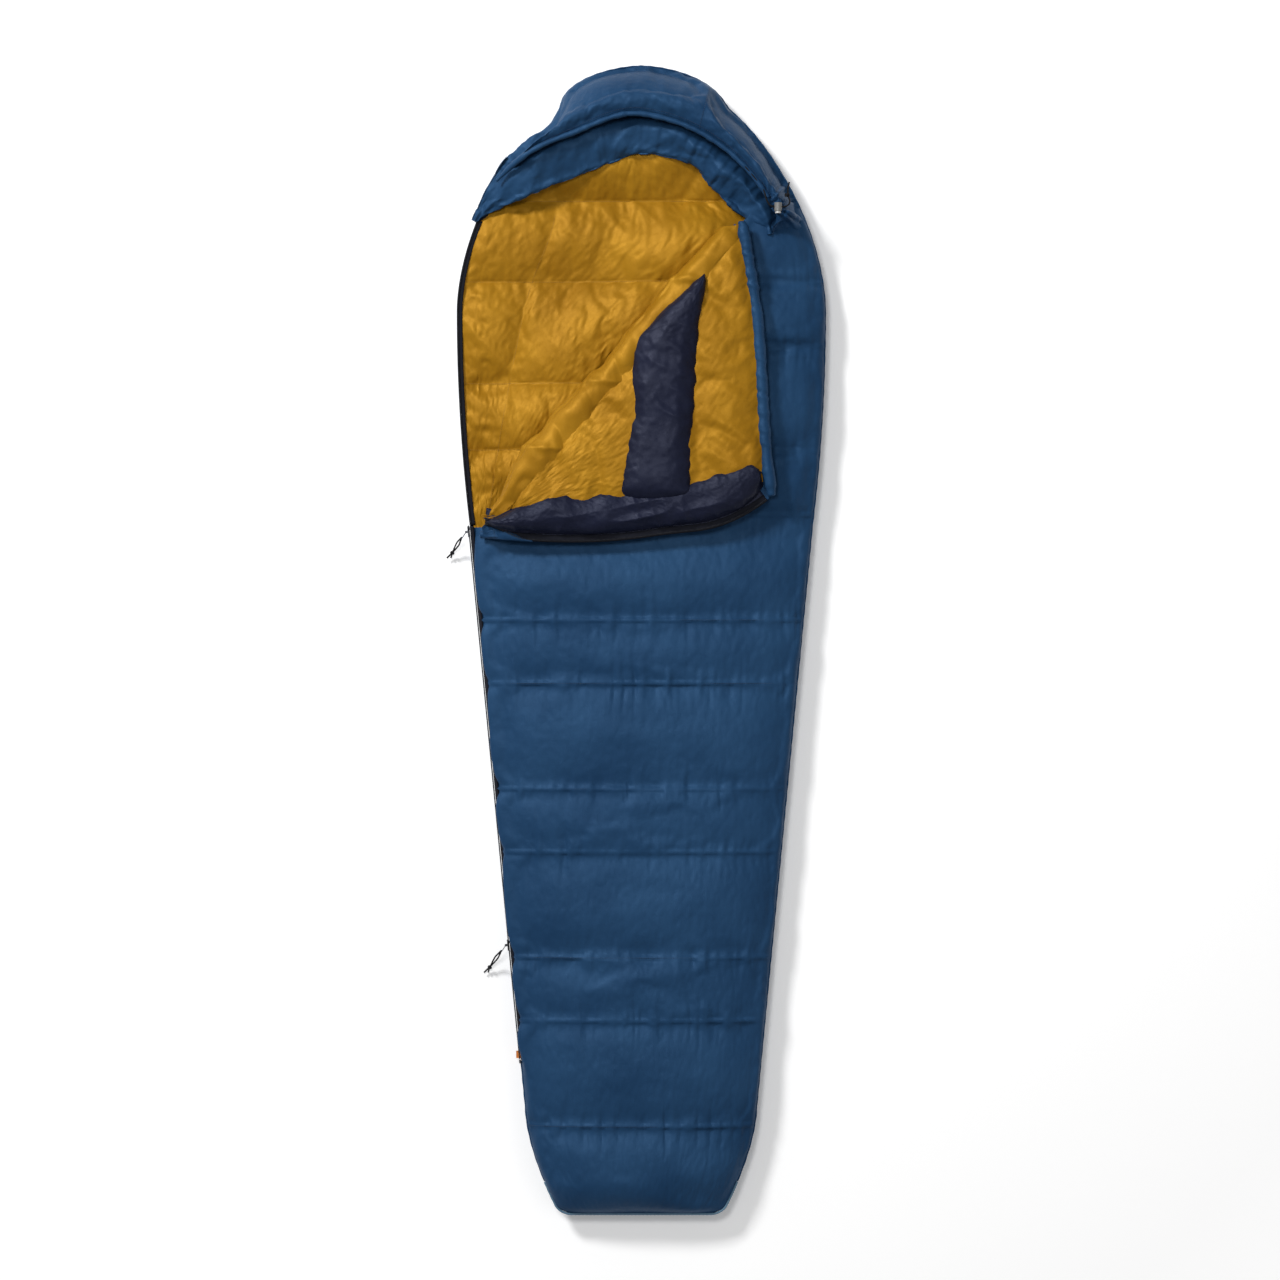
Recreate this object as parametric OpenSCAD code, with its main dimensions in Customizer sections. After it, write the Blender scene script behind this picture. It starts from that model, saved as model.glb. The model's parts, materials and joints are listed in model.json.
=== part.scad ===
// Mummy-shaped down sleeping bag, laid flat on its back with the zip side opened
// and the chest corner of the top folded back. Millimetres. +Z up, +Y towards the
// hood, +X towards the closed side, so the zip is on -X. The origin is on the
// underside, at mid length.

/* [Overall] */
// Length from the foot to the crown of the hood
bag_length = 2130; // [1900:10:2300]
// Width of the flat foot end
foot_w = 300; // [240:5:340]
// Width where the footbox meets the body taper
footbox_w = 428; // [380:4:480]
// Width at the top of the closed part of the zip
waist_w = 636; // [580:4:680]
// Width across the shoulders
shoulder_w = 684; // [640:4:740]
// Fullness of the hood's curve
hood_curve = 1.75; // [1.5:0.05:2.2]

/* [Loft] */
// Loft of the back layer
back_loft = 38; // [34:1:40]
// Height at which the top layer starts
top_floor = 56; // [56:1:60]
// Height of the outside of the top layer
top_height = 96; // [94:1:100]
// Height of the crown of the hood
crown_height = 112; // [106:1:116]
// Loft of the down in the folded corner
flap_loft = 27.5; // [20:0.5:28]
// Loft of the draft collar
collar_loft = 15.5; // [10:0.5:16]
// Loft of the draft tube behind the zip
tube_loft = 36; // [24:1:37]

/* [Baffles] */
// Outer width of a wide chamber
wide = 195; // [180:1:200]
// Outer width of a narrow chamber
narrow = 117; // [100:1:124]
// Slant of a baffle wall, from its outer seam to its inner seam
slant = 34; // [10:1:39]
// First seam of the top layer, from mid length
top_first_seam = 661; // [650:1:670]
// First seam of the back layer, from mid length
back_first_seam = 629; // [620:1:640]

/* [Opening] */
// Place along the bag where the closed part of the zip ends
zip_open_at = 213; // [190:1:240]
// Distance of the fold from the centreline, at the zip
fold_in = 292.6; // [280:0.2:310]
// Angle of the fold from straight across the bag
fold_angle = 49.57; // [45:0.01:54]
// Chest edge of the corner when it is laid shut
chest_y = 772; // [760:1:776]
// How far the corner's zip edge hangs past the outline when shut
zip_drop = 26; // [0:1:30]
// Width of the draft tube
tube_w = 66; // [50:1:70]
// Depth of the draft collar at the zip
collar_w = 128; // [100:1:140]

/* [Hood] */
// Place of the neck, where the hood lifts
neck_at = 787; // [780:1:795]
// Radius of the hood's opening
lip_r = 322; // [310:1:330]
// Radius of the drawcord's arc
cord_arc_r = 317; // [306:1:325]

/* [Fabric and zip] */
// Thickness of a shell skin
skin = 1.0; // [0.8:0.1:1.2]
// Width of a zip tape
tape_w = 14; // [12:1:15]
// Thickness of a zip tape
tape_t = 0.8; // [0.6:0.1:0.8]
// Distance from the top of the closed zip to the lower slider
lower_slider_at = 772; // [700:1:780]

/* [Hardware] */
// Length of a zip slider
slider_l = 20; // [16:1:22]
// Radius of the pin that a pull turns on
pin_r = 0.9; // [0.8:0.05:1.0]
// Running clearance of the pull's eye
eye_gap = 0.08; // [0.05:0.01:0.1]
// Length of a pull tab
tab_l = 15; // [12:1:18]
// Radius of a pull's cord
cord_r = 1.1; // [0.9:0.1:1.2]
// Radius of the hood drawcord
draw_r = 1.5; // [1.2:0.1:1.6]

/* [Hidden] */

shell_blue = [0.13, 0.26, 0.41];
piping_blue = [0.35, 0.5, 0.62];
liner_gold = [0.74, 0.54, 0.12];
loop_orange = [0.85, 0.5, 0.12];
navy = [0.11, 0.13, 0.20];
black = [0.05, 0.05, 0.06];
down_white = [0.93, 0.92, 0.88];
mesh_white = [0.85, 0.85, 0.84];
metal = [0.35, 0.36, 0.38];
button_grey = [0.62, 0.61, 0.58];
spring_grey = [0.7, 0.7, 0.72];

// ---- places along the bag
foot_end = -bag_length / 2;
crown = bag_length / 2;
taper_y = foot_end + 195;    // where the foot's rounding meets the straight taper
shoulder_y = 611;
footbox_y = -899;            // footbox seam
strip_y = 745;               // top edge of the closed side's top layer

// ---- clearances, and insets from the outline
gap = 0.5;
side_skin = skin * 1.2;      // thickness of a shell round its sides
liner_in = 3;
fill_in = 4;
wall_in = 5;
pad_in = 2.5;                // inset of the fill in the muff, collar and tube
liner_t = 0.8;

// ---- height ranges, [bottom, top]
fill_top = top_height - skin - gap;
back_fill_z = [skin + gap, back_loft - 1];
top_fill_z = [top_floor + liner_t + gap, fill_top];
back_liner_z = [back_loft - 0.5, back_loft - 0.5 + liner_t];

// ---- reach of cutting shapes, clear of the bag
above = 200;
high = 300;
past_end = 1200;
past_side = 600;
overcut = 10;

// ================= outline =================
foot_power = 1.6;            // rounding of the foot
hood_power = 0.6;            // outer exponent of the hood's curve

// half width at y: rounded foot, straight taper, swelling shoulders, rounded hood
function half_w(y) =
  y < taper_y
    ? foot_w / 2 + (footbox_w - foot_w) / 2
      * (1 - pow(1 - (y - foot_end) / (taper_y - foot_end), foot_power))
  : y < zip_open_at
    ? footbox_w / 2 + (waist_w - footbox_w) / 2 * (y - taper_y) / (zip_open_at - taper_y)
  : y < shoulder_y
    ? shoulder_w / 2 - (shoulder_w - waist_w) / 2
      * pow(1 - (y - zip_open_at) / (shoulder_y - zip_open_at), 2)
  : shoulder_w / 2
    * pow(max(0, 1 - pow((y - shoulder_y) / (crown - shoulder_y), hood_curve)), hood_power);

// stations along the bag, closer together where the outline curves more
levels = concat(
  [for (a = [0 : 15 : 75]) foot_end + (taper_y - foot_end) * (1 - cos(a))],
  [taper_y],
  [for (i = [0 : 5]) zip_open_at + (shoulder_y - zip_open_at) * i / 6],
  [for (a = [0 : 6 : 84]) shoulder_y + (crown - shoulder_y) * sin(a)]
);
function reversed(list) = [for (i = [len(list) - 1 : -1 : 0]) list[i]];
function zip_side(stations) = [for (y = stations) [-half_w(y), y]];
outline = concat(
  [for (y = levels) [half_w(y), y]],
  [[0, crown]],
  zip_side(reversed(levels))
);

function unit(v) = v / norm(v);
// anticlockwise loop moved outwards
function grown(loop, out) = let (n = len(loop)) [
  for (i = [0 : n - 1])
    let (
      after = unit(loop[(i + 1) % n] - loop[i]),
      before = unit(loop[i] - loop[(i + n - 1) % n]),
      along = unit(after + before),
      mitre = max(0.6, along * after)
    )
    loop[i] + [along[1], -along[0]] * (out / mitre)
];
// open line moved to its right
function shifted(line, right) = let (last = len(line) - 1) [
  for (i = [0 : last])
    let (
      after = i < last ? unit(line[i + 1] - line[i]) : unit(line[i] - line[i - 1]),
      before = i > 0 ? unit(line[i] - line[i - 1]) : after,
      along = unit(after + before)
    )
    line[i] + [along[1], -along[0]] * right
];

// ---- basic shapes; z is a [bottom, top] range
module raised(z) {
  translate([0, 0, z[0]]) linear_extrude(height = z[1] - z[0]) children();
}
module slab(inset, z) {
  raised(z) polygon(grown(outline, -inset));
}
module band(y0, y1, z0 = 0, z1 = above) {
  translate([-past_side, y0, z0]) cube([2 * past_side, y1 - y0, z1 - z0]);
}
// strip between two shifts of a line
module strip(line, from, to, z) {
  raised(z) polygon(concat(shifted(line, from), reversed(shifted(line, to))));
}

// ================= fold of the chest corner =================
fold_start = [-fold_in, zip_open_at];
fold_dir = [cos(fold_angle), sin(fold_angle)];
fold_normal = [fold_dir[1], -fold_dir[0]];   // towards the closed side
fold_z = top_height + gap;

// how far pieces stop short of the fold, on both sides of it
shell_hold = 2;
liner_hold = 3;
fill_hold = 6;
wall_hold = 7;

// half plane on the closed side of the fold (sign = 1) or on the zip side (sign = -1)
module half_plane(sign, hold, z1) {
  shift = fold_normal * hold * sign;
  near = fold_start - fold_dir * 1500 + shift;
  far = fold_start + fold_dir * 2400 + shift;
  reach = fold_normal * 1800 * sign;
  raised([0, z1]) polygon([near, near + reach, far + reach, far]);
}
// the corner is drawn laid shut, then turned over its fold
module folded_back() {
  axis_at = [fold_start[0], fold_start[1], fold_z];
  translate(axis_at) rotate(a = 180, v = [fold_dir[0], fold_dir[1], 0])
    translate(-axis_at) children();
}

// ================= chambers =================
last_wall = 9;
chamber_gap = 1.2;           // from a chamber's fill to the middle of its wall
wall_half = 0.4;             // half the thickness of a wall

// seam i of a layer, counted from the hood; alternate walls lean opposite ways
function seam(first, i) = first - floor(i / 2) * (wide + narrow) - (i % 2) * narrow;
function lean(i) = i % 2 == 0 ? slant : -slant;
// y of wall i at height z, between the outer skin and the inner skin
function wall_y(first, i, z, z_out, z_in) =
  seam(first, i) + lean(i) * (z - z_out) / (z_in - z_out);

// block right across the bag; each edge gives its y at the bottom and at the top
module leaning_block(foot_edge, hood_edge, z) {
  translate([-past_side, 0, 0]) rotate([90, 0, 90])
    linear_extrude(height = 2 * past_side)
      polygon([[foot_edge[0], z[0]], [hood_edge[0], z[0]],
               [hood_edge[1], z[1]], [foot_edge[1], z[1]]]);
}
// space between two walls; wall -1 stands for the end of the layer
module chamber(first, hood_wall, foot_wall, y_top, y_foot, z_out, z_in) {
  range = [min(z_out, z_in), max(z_out, z_in)];
  leaning_block(
    [for (z = range)
      (foot_wall < 0 ? y_foot : wall_y(first, foot_wall, z, z_out, z_in)) + chamber_gap],
    [for (z = range)
      (hood_wall < 0 ? y_top : wall_y(first, hood_wall, z, z_out, z_in)) - chamber_gap],
    range
  );
}
module wall(first, i, z_out, z_in) {
  range = [min(z_out, z_in), max(z_out, z_in)];
  middle = [for (z = range) wall_y(first, i, z, z_out, z_in)];
  half = [wall_half, wall_half];
  leaning_block(middle - half, middle + half, range);
}
module layer_fill(first, y_top, fill_z, z_out, z_in) {
  for (i = [-1 : last_wall]) intersection() {
    slab(fill_in, fill_z);
    chamber(first, i, i == last_wall ? -1 : i + 1, y_top, footbox_y + 1, z_out, z_in);
  }
}
module layer_walls(first, fill_z, z_out, z_in) {
  for (i = [0 : last_wall]) intersection() {
    slab(wall_in, fill_z);
    wall(first, i, z_out, z_in);
  }
}

// ================= back layer =================
module body_band() { band(footbox_y + gap, neck_at - gap, -1); }

module back_shell() color(shell_blue)
  intersection() {
    difference() {
      slab(0, [0, back_loft]);
      slab(side_skin, [skin, back_loft + overcut]);
    }
    body_band();
  }
module back_down_fill() color(down_white)
  layer_fill(back_first_seam, neck_at - 1, back_fill_z, 0, back_loft);
module back_baffle_walls() color(mesh_white)
  layer_walls(back_first_seam, back_fill_z, 0, back_loft);
module back_liner() color(liner_gold)
  intersection() {
    slab(liner_in, back_liner_z);
    body_band();
  }

// ================= top layer =================
// all below the opening, and the closed side of the fold above it
module top_region(hold) {
  intersection() {
    union() {
      half_plane(1, hold, above);
      band(-past_end, zip_open_at - 8);
    }
    band(footbox_y + gap, strip_y);
  }
}
module top_shell() color(shell_blue)
  intersection() {
    difference() {
      slab(0, [top_floor - 1, top_height]);
      slab(side_skin, [top_floor - overcut, top_height - skin]);
    }
    top_region(shell_hold);
  }
module top_down_fill() color(down_white)
  intersection() {
    layer_fill(top_first_seam, strip_y - 1, top_fill_z, top_height, top_floor);
    top_region(fill_hold);
  }
module top_baffle_walls() color(mesh_white)
  intersection() {
    layer_walls(top_first_seam, top_fill_z, top_height, top_floor);
    top_region(wall_hold);
  }
module top_liner() color(liner_gold)
  intersection() {
    slab(liner_in, [top_floor, top_floor + liner_t]);
    top_region(liner_hold);
  }

// ================= footbox =================
footbox_liner_in = 6;
footbox_inner_y = footbox_y - 2;     // where the fill and liner stop
piping_z = [44, 48];
piping_out = [0.4, 2.6];             // inner and outer side, past the outline
piping_reach = 60;                   // from the foot end

module foot_band(y_top, z0 = 0) { band(foot_end - overcut, y_top, z0); }

module footbox_shell() color(shell_blue)
  intersection() {
    difference() {
      slab(0, [0, top_height]);
      slab(side_skin, [skin, top_height - skin]);
    }
    foot_band(footbox_y - gap, -1);
  }
module footbox_down_fill() color(down_white)
  for (z = [back_fill_z, top_fill_z])
    intersection() {
      slab(fill_in, z);
      foot_band(footbox_inner_y);
    }
module footbox_liner() color(liner_gold)
  intersection() {
    difference() {
      slab(footbox_liner_in, [back_liner_z[0], top_floor + liner_t]);
      slab(footbox_liner_in + liner_t, [back_liner_z[1], top_floor]);
    }
    foot_band(footbox_inner_y);
  }
module footbox_piping() color(piping_blue)
  intersection() {
    difference() {
      slab(-piping_out[1], piping_z);
      slab(-piping_out[0], piping_z + [-4, 4]);
    }
    foot_band(foot_end + piping_reach);
  }

// ================= hood =================
lip_centre = [-40, 654];     // centre of the hood opening
lip_depth = 6;               // depth of the opening's cut in the shell
hood_wall_y = 815;
crown_fill_floor = 48;

// the part of the hood that stands up, which starts lower down on the closed side
module hood_upper() {
  band(830, past_end, -1, high);
  translate([160, 800, -1]) cube([400, 400, high + 1]);
}
module disc(centre, r, z) {
  translate([centre[0], centre[1], z[0]]) cylinder(r = r, h = z[1] - z[0], $fn = 128);
}

module hood_shell() color(shell_blue)
  intersection() {
    difference() {
      slab(0, [0, crown_height]);
      slab(side_skin, [skin, crown_height - skin]);
      disc(lip_centre, lip_r, [crown_height - lip_depth, crown_height + 5]);
    }
    union() {
      band(neck_at + gap, past_end, -1, back_loft);
      hood_upper();
    }
  }
module hood_down_fill() color(down_white)
  for (ends = [[neck_at + 2, hood_wall_y - chamber_gap], [hood_wall_y + chamber_gap, past_end]])
    intersection() {
      slab(fill_in, back_fill_z);
      band(ends[0], ends[1]);
    }
module hood_baffle_wall() color(mesh_white)
  intersection() {
    slab(wall_in, back_fill_z);
    band(hood_wall_y - wall_half, hood_wall_y + wall_half);
  }
module hood_liner() color(liner_gold)
  intersection() {
    slab(liner_in, back_liner_z);
    band(neck_at + gap, past_end, -1);
  }
module hood_crown_fill() color(down_white)
  intersection() {
    difference() {
      slab(fill_in, [crown_fill_floor, crown_height - skin - gap]);
      disc(lip_centre, lip_r + 3, [0, above]);
    }
    hood_upper();
  }

// ---- face muff: roll of shell fabric round the face, inside the lip
muff_centre = [-33, 618];    // centre of the muff's inner edge
muff_outer_r = 309;
muff_inner_r = 285;
muff_z = [44, 102];

module muff(inset, z) {
  intersection() {
    difference() {
      disc(lip_centre, muff_outer_r - inset, z);
      disc(muff_centre, muff_inner_r + inset, z + [-5, 5]);
    }
    slab(fill_in + inset, [0, high]);
    hood_upper();
  }
}
module face_muff_cover() color(shell_blue)
  difference() {
    muff(0, muff_z);
    muff(side_skin, muff_z - [4, skin]);
  }
module face_muff_fill() color(down_white) muff(pad_in, muff_z + [1, -2]);

// ---- drawcord tunnel on the lip, with the cord inside it
channel_z = crown_height + 5;
channel_r = 4.5;
channel_bore_r = 2.6;
arc_from = 34;
arc_to = 134;
arc_steps = 20;

module drawcord_channel() color(shell_blue)
  translate([lip_centre[0], lip_centre[1], channel_z]) rotate([0, 0, arc_from])
    rotate_extrude(angle = arc_to - arc_from, $fn = 96)
      translate([cord_arc_r, 0]) difference() {
        circle(r = channel_r, $fn = 32);
        circle(r = channel_bore_r, $fn = 32);
      }

// round cord through a list of points
module cord(points, r) {
  for (i = [0 : len(points) - 2]) hull() {
    translate(points[i]) sphere(r = r, $fn = 12);
    translate(points[i + 1]) sphere(r = r, $fn = 12);
  }
}

lock_at = [252, 796, 120];
function lip_point(angle) =
  [lip_centre[0] + cord_arc_r * cos(angle), lip_centre[1] + cord_arc_r * sin(angle), channel_z];
drawcord_knot = [268.5, 818, 118.6];
drawcord_path = concat(
  [for (i = [0 : arc_steps]) lip_point(arc_to + (arc_from - arc_to) * i / arc_steps)],
  [
    [227, 812, 118.6],
    [234, lock_at[1], lock_at[2]],   // into the cord lock
    [271, lock_at[1], lock_at[2]],   // out of it
    drawcord_knot,
    [273, 842, 117]
  ]
);
module hood_drawcord() color(black) {
  cord(drawcord_path, draw_r);
  translate(drawcord_knot) sphere(r = 3.4, $fn = 12);
}

// ---- cord lock: barrel cross-bored for the cord, sprung button with a slot for it.
// Places are along Y from the cord's axis; the barrel is open towards the foot.
barrel_r = 7;
barrel_l = 15;
barrel_end = 8;
barrel_bore_r = 4.9;
barrel_bore_end = 6.6;
cross_bore_r = 2.4;
button_head_r = 5.6;
button_head_l = 2.2;
button_head_at = -9.3;
button_stem_r = 4.75;
button_stem_l = 13;
button_stem_end = 3;
button_slot = [20, 6.4, 4];
button_slot_at = -4.4;
spring_r = 3.4;
spring_wire_r = 0.3;
spring_turns_at = [5.42, 6.22];

// rod from y towards the foot
module rod(y, r, h) { translate([0, y, 0]) rotate([90, 0, 0]) cylinder(r = r, h = h, $fn = 48); }

module cord_lock_barrel() color(metal)
  translate(lock_at) difference() {
    rod(barrel_end, barrel_r, barrel_l);
    rod(barrel_bore_end, barrel_bore_r, 40);
    rotate([0, 90, 0]) cylinder(r = cross_bore_r, h = 30, center = true, $fn = 32);
  }
module cord_lock_button() color(button_grey)
  translate(lock_at) difference() {
    union() {
      rod(button_head_at, button_head_r, button_head_l);
      rod(button_stem_end, button_stem_r, button_stem_l);
    }
    translate([-button_slot[0] / 2, button_slot_at, -button_slot[2] / 2]) cube(button_slot);
  }
module cord_lock_spring() color(spring_grey)
  translate(lock_at)
    for (y = spring_turns_at)
      translate([0, y, 0]) rotate([90, 0, 0]) rotate_extrude($fn = 48)
        translate([spring_r, 0]) circle(r = spring_wire_r, $fn = 16);

// ================= folded chest corner, drawn laid shut =================
corner_foot = zip_open_at - 4;
corner_steps = 14;
corner_edge = [                      // zip edge, from the foot end up
  for (i = [0 : corner_steps])
    let (t = i / corner_steps, y = corner_foot + (chest_y - corner_foot) * t)
    [-(half_w(y) + zip_drop * sin(180 * t)), y]
];
corner_reach = [100, 900];           // y range that clears the corner
flap_floor = fill_top - flap_loft;   // underside of the corner's down
flap_fill_z = [flap_floor, fill_top];
flap_last_wall = 2;
liner_top = flap_floor - gap;
tube_in = 18.5;
tube_out = tube_in + tube_w;

// the corner, held in from its zip edge, its chest edge and the fold
module corner(zip_in, chest_in, hold, z) {
  edge = shifted(corner_edge, zip_in);
  intersection() {
    raised(z) polygon(concat(
      [[past_side, corner_reach[0]], [edge[0][0], corner_reach[0]]],
      edge,
      [[edge[corner_steps][0], corner_reach[1]], [past_side, corner_reach[1]]]
    ));
    band(corner_foot, chest_y - chest_in, 0, high);
    half_plane(-1, hold, high);
  }
}
module flap_shell() color(shell_blue) folded_back()
  corner(0, 0, shell_hold, [top_height - skin, top_height]);
module flap_down_fill() color(down_white) folded_back()
  for (i = [-1 : flap_last_wall]) intersection() {
    corner(tube_out + 2, 12, fill_hold, flap_fill_z);
    chamber(top_first_seam, i, i + 1, chest_y, 0, top_height, flap_floor - 1);
  }
module flap_baffle_walls() color(mesh_white) folded_back()
  for (i = [0 : flap_last_wall]) intersection() {
    corner(tube_out + 3, 13, wall_hold, flap_fill_z);
    wall(top_first_seam, i, top_height, flap_floor - 1);
  }
module flap_liner() color(liner_gold) folded_back()
  corner(tube_out + 1, 1, liner_hold, [liner_top - 1, liner_top]);

// ---- draft collar: crescent pad, sewn along its upper edge, narrowing from the zip
collar_start = [-270, 606];  // zip end of the collar, clear of the draft tube
collar_run = [364, 86];      // from the zip end to the far end
collar_end_w = 6;
collar_power = 6;            // how late the collar narrows
collar_steps = 12;
collar_top = liner_top - 2;
collar_bottom = collar_top - collar_loft;

function collar_root(t) = collar_start + collar_run * t;
function collar_depth(t) = collar_end_w + (collar_w - collar_end_w) * (1 - pow(t, collar_power));
module collar(inset, z) {
  stations = [for (i = [0 : collar_steps]) i / collar_steps];
  root = [for (t = stations) collar_root(t) - [0, inset]];
  free = [for (t = stations)
    collar_root(t) - [0, max(2 * inset + 0.5, collar_depth(t) - inset)]];
  intersection() {
    raised(z) polygon(concat(free, reversed(root)));
    // the narrow end is held in further than the zip end
    translate([collar_start[0] + inset, 0, 0])
      cube([collar_run[0] - 9 * inset, corner_reach[1], high]);
    half_plane(-1, 8 + inset, high);
  }
}
module draft_collar_cover() color(navy) folded_back()
  difference() {
    collar(0, [collar_bottom, collar_top]);
    collar(side_skin, [collar_bottom + skin, collar_top + overcut]);
  }
module draft_collar_fill() color(down_white) folded_back()
  collar(pad_in, [collar_bottom + skin + gap, collar_top - gap]);

// ---- draft tube: padded tube along the zip edge of the corner
tube_top = fill_top - 0.2;
tube_bottom = tube_top - tube_loft;

module tube(inset, z) {
  intersection() {
    strip(corner_edge, tube_in + inset, tube_out - inset, z);
    band(zip_open_at + 8 + inset, chest_y - 2 - inset, 0, high);
    half_plane(-1, 6 + inset, high);
  }
}
module draft_tube_cover() color(navy) folded_back()
  difference() {
    tube(0, [tube_bottom, tube_top]);
    tube(side_skin, [tube_bottom + skin, tube_top + overcut]);
  }
module draft_tube_fill() color(down_white) folded_back()
  tube(pad_in, [tube_bottom + skin + gap, tube_top - gap]);

// bound, elasticated chest edge
binding_w = 10;
module chest_edge_binding() color(shell_blue) folded_back()
  intersection() {
    corner(tube_out + 2, 1, 10, flap_fill_z);
    band(chest_y - binding_w, chest_y);
  }

// strip along the corner's zip edge; depths are below the outside of the top layer
module corner_strip(from, to, depths) {
  folded_back() intersection() {
    strip(corner_edge, from, to, [top_height - depths[0], top_height - depths[1]]);
    corner(0, 2, 5, [0, above]);
  }
}
// facing between the zip and the edge of the shell
module flap_zip_facing() color(navy) corner_strip(0.5, 12, [2.4, 1.4]);

// ================= zip =================
zip_start = [-half_w(zip_open_at), zip_open_at];
zip_foot_y = -778;
zip_end = [-half_w(zip_foot_y), zip_foot_y];
zip_run = zip_end - zip_start;
zip_len = norm(zip_run);
chain_z = 47;
coil_w = 1.55;
coil_h = 1.5;
coil_y = -2.6;               // outer side of the closed coils
coil_gap = 0.4;              // from the chain's middle to a coil
tape_gap = 2;                // from the chain's middle to a tape
rim = back_loft + 0.8;       // height of the open zip's underside
open_edge = zip_side(
  [for (i = [0 : 10]) zip_open_at + 4 + (neck_at - 6 - zip_open_at) * i / 10]);
hood_edge = zip_side([for (i = [0 : 4]) neck_at + 11 + 11 * i]);

// frame of the closed run: x down the bag, y inwards
module on_zip(down) {
  translate([zip_start[0], zip_start[1], 0])
    rotate([0, 0, atan2(zip_run[1], zip_run[0])]) translate([down, 0, 0]) children();
}
module closed_tape(z) {
  on_zip(0) translate([0, -0.2 - tape_t, z]) cube([zip_len, tape_t, tape_w]);
}
module closed_coil(z) {
  on_zip(0) translate([0, coil_y, z]) cube([zip_len, coil_w, coil_h]);
}
// block centred on the height of the chain
module chain_block(x, y, size) {
  translate([x, y, chain_z - size[2] / 2]) cube(size);
}

module zip_tape_back() color(navy) {
  closed_tape(chain_z - tape_gap - tape_w);
  strip(open_edge, 0, tape_w, [rim, rim + tape_t]);
}
module zip_coil_back() color(black) {
  closed_coil(chain_z - coil_gap - coil_h);
  strip(open_edge, 0.5, 3.5, [rim + tape_t + 0.1, rim + tape_t + 1.7]);
}
module zip_tape_top() color(navy) closed_tape(chain_z + tape_gap);
module zip_coil_top() color(black) closed_coil(chain_z + coil_gap);
module zip_tape_flap() color(navy) corner_strip(5, 17, [3.8, 2.8]);
module zip_coil_flap() color(black) corner_strip(13.5, 17, [6, 4]);
module zip_tape_hood() color(navy) strip(hood_edge, 2, tape_w, [rim, rim + 2]);

top_stop_y = 846;
module zip_top_stop() color(metal)
  translate([-half_w(top_stop_y) + 8, top_stop_y, rim]) rotate([0, 0, -62]) cube([6, 5, 3]);
module zip_bottom_stop() color(metal)
  on_zip(zip_len + 0.6) chain_block(0, -3.4, [6, 3.2, 12]);
// facing sewn along the open side, which keeps the slider off the lining
module zip_facing_back() color(liner_gold)
  strip(open_edge, tape_w + 2, tape_w + 26, [rim, rim + 1]);

// ---- slider: outer and inner plate joined by a web that runs between the coils
pin_at = [slider_l / 2, -7.6];
pin_l = 9.2;
lug = [4, 5, 1.4];
lug_out = 5.2;               // from the chain's middle to a lug's far face

module slider() {
  chain_block(0, -4.6, [slider_l, 1.2, 12]);
  chain_block(1, 0.2, [slider_l - 2, 1.0, 11]);
  chain_block(2, -4, [5, 5, 0.5]);
  for (z = [-lug_out, lug_out - lug[2]])
    translate([pin_at[0] - lug[0] / 2, -8.9, chain_z + z]) cube(lug);
  translate([pin_at[0], pin_at[1], chain_z - pin_l / 2]) cylinder(r = pin_r, h = pin_l, $fn = 32);
}

// ---- pull tab: eye on the pin, flat tab, hole for the cord
eye_r = 2.1;
eye_h = 5.2;
tab_size = [tab_l - 1.2, 1.4, 5];
tab_hole_x = tab_l - 2.6;
tab_hole_r = 1.5;

module pull_tab() {
  difference() {
    union() {
      translate([0, 0, -eye_h / 2]) cylinder(r = eye_r, h = eye_h, $fn = 32);
      translate([1.2, -tab_size[1] / 2, -tab_size[2] / 2]) cube(tab_size);
    }
    translate([0, 0, -3]) cylinder(r = pin_r + eye_gap, h = 6, $fn = 32);
    translate([tab_hole_x, 2, 0]) rotate([90, 0, 0]) cylinder(r = tab_hole_r, h = 4, $fn = 24);
  }
}
// cord: a loop from the tab's hole to a knot, then two tails
module pull_cord(length, drop) {
  hole = [tab_hole_x, 0, 0];
  knot = [length, 0, -drop];
  run = length - tab_hole_x;
  half_bar = [0, 2.6, 0];    // the loop's straight part, through the hole
  cord([hole - half_bar, hole + half_bar], cord_r);
  for (s = [-1, 1])
    cord([
      hole + s * half_bar,
      hole + [run * 0.3, s * 4.6, -drop * 0.22],
      hole + [run * 0.7, s * 3.4, -drop * 0.66],
      knot,
      knot + [8, s * 2.6, -drop * 0.03],
      knot + [15, s * 3, -drop * 0.05]
    ], cord_r);
  translate(knot) sphere(r = 3.2, $fn = 12);
}

upper_slider_at = 2;
pull_rest = -39;             // both pulls rest turned outwards from the chain
module at_pull(down) {
  on_zip(down) translate([pin_at[0], pin_at[1], chain_z]) rotate([0, 0, pull_rest]) children();
}

module upper_slider() color(metal) on_zip(upper_slider_at) slider();
module upper_pull_tab() color(metal) at_pull(upper_slider_at) pull_tab();
module upper_pull_cord() color(black) at_pull(upper_slider_at) pull_cord(46, 36);
module lower_slider() color(metal) on_zip(lower_slider_at) slider();
module lower_pull_tab() color(metal) at_pull(lower_slider_at) pull_tab();
module lower_pull_cord() color(black) at_pull(lower_slider_at) pull_cord(56, 38);

// ---- folded ribbon loop in the side seam, by the end of the zip
ribbon_w = 13;
ribbon_t = 0.8;
loop_z = 22;
loop_rise = 4;               // from the lower leg to the upper one
loop_reach = 6.5;

module side_loop_tab() color(loop_orange)
  on_zip(zip_len - 14) {
    for (z = [loop_z, loop_z + loop_rise])
      translate([0, -6.8, z]) cube([ribbon_w, loop_reach, ribbon_t]);
    translate([0, -6.8, loop_z]) cube([ribbon_w, ribbon_t, loop_rise + ribbon_t]);
  }

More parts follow.
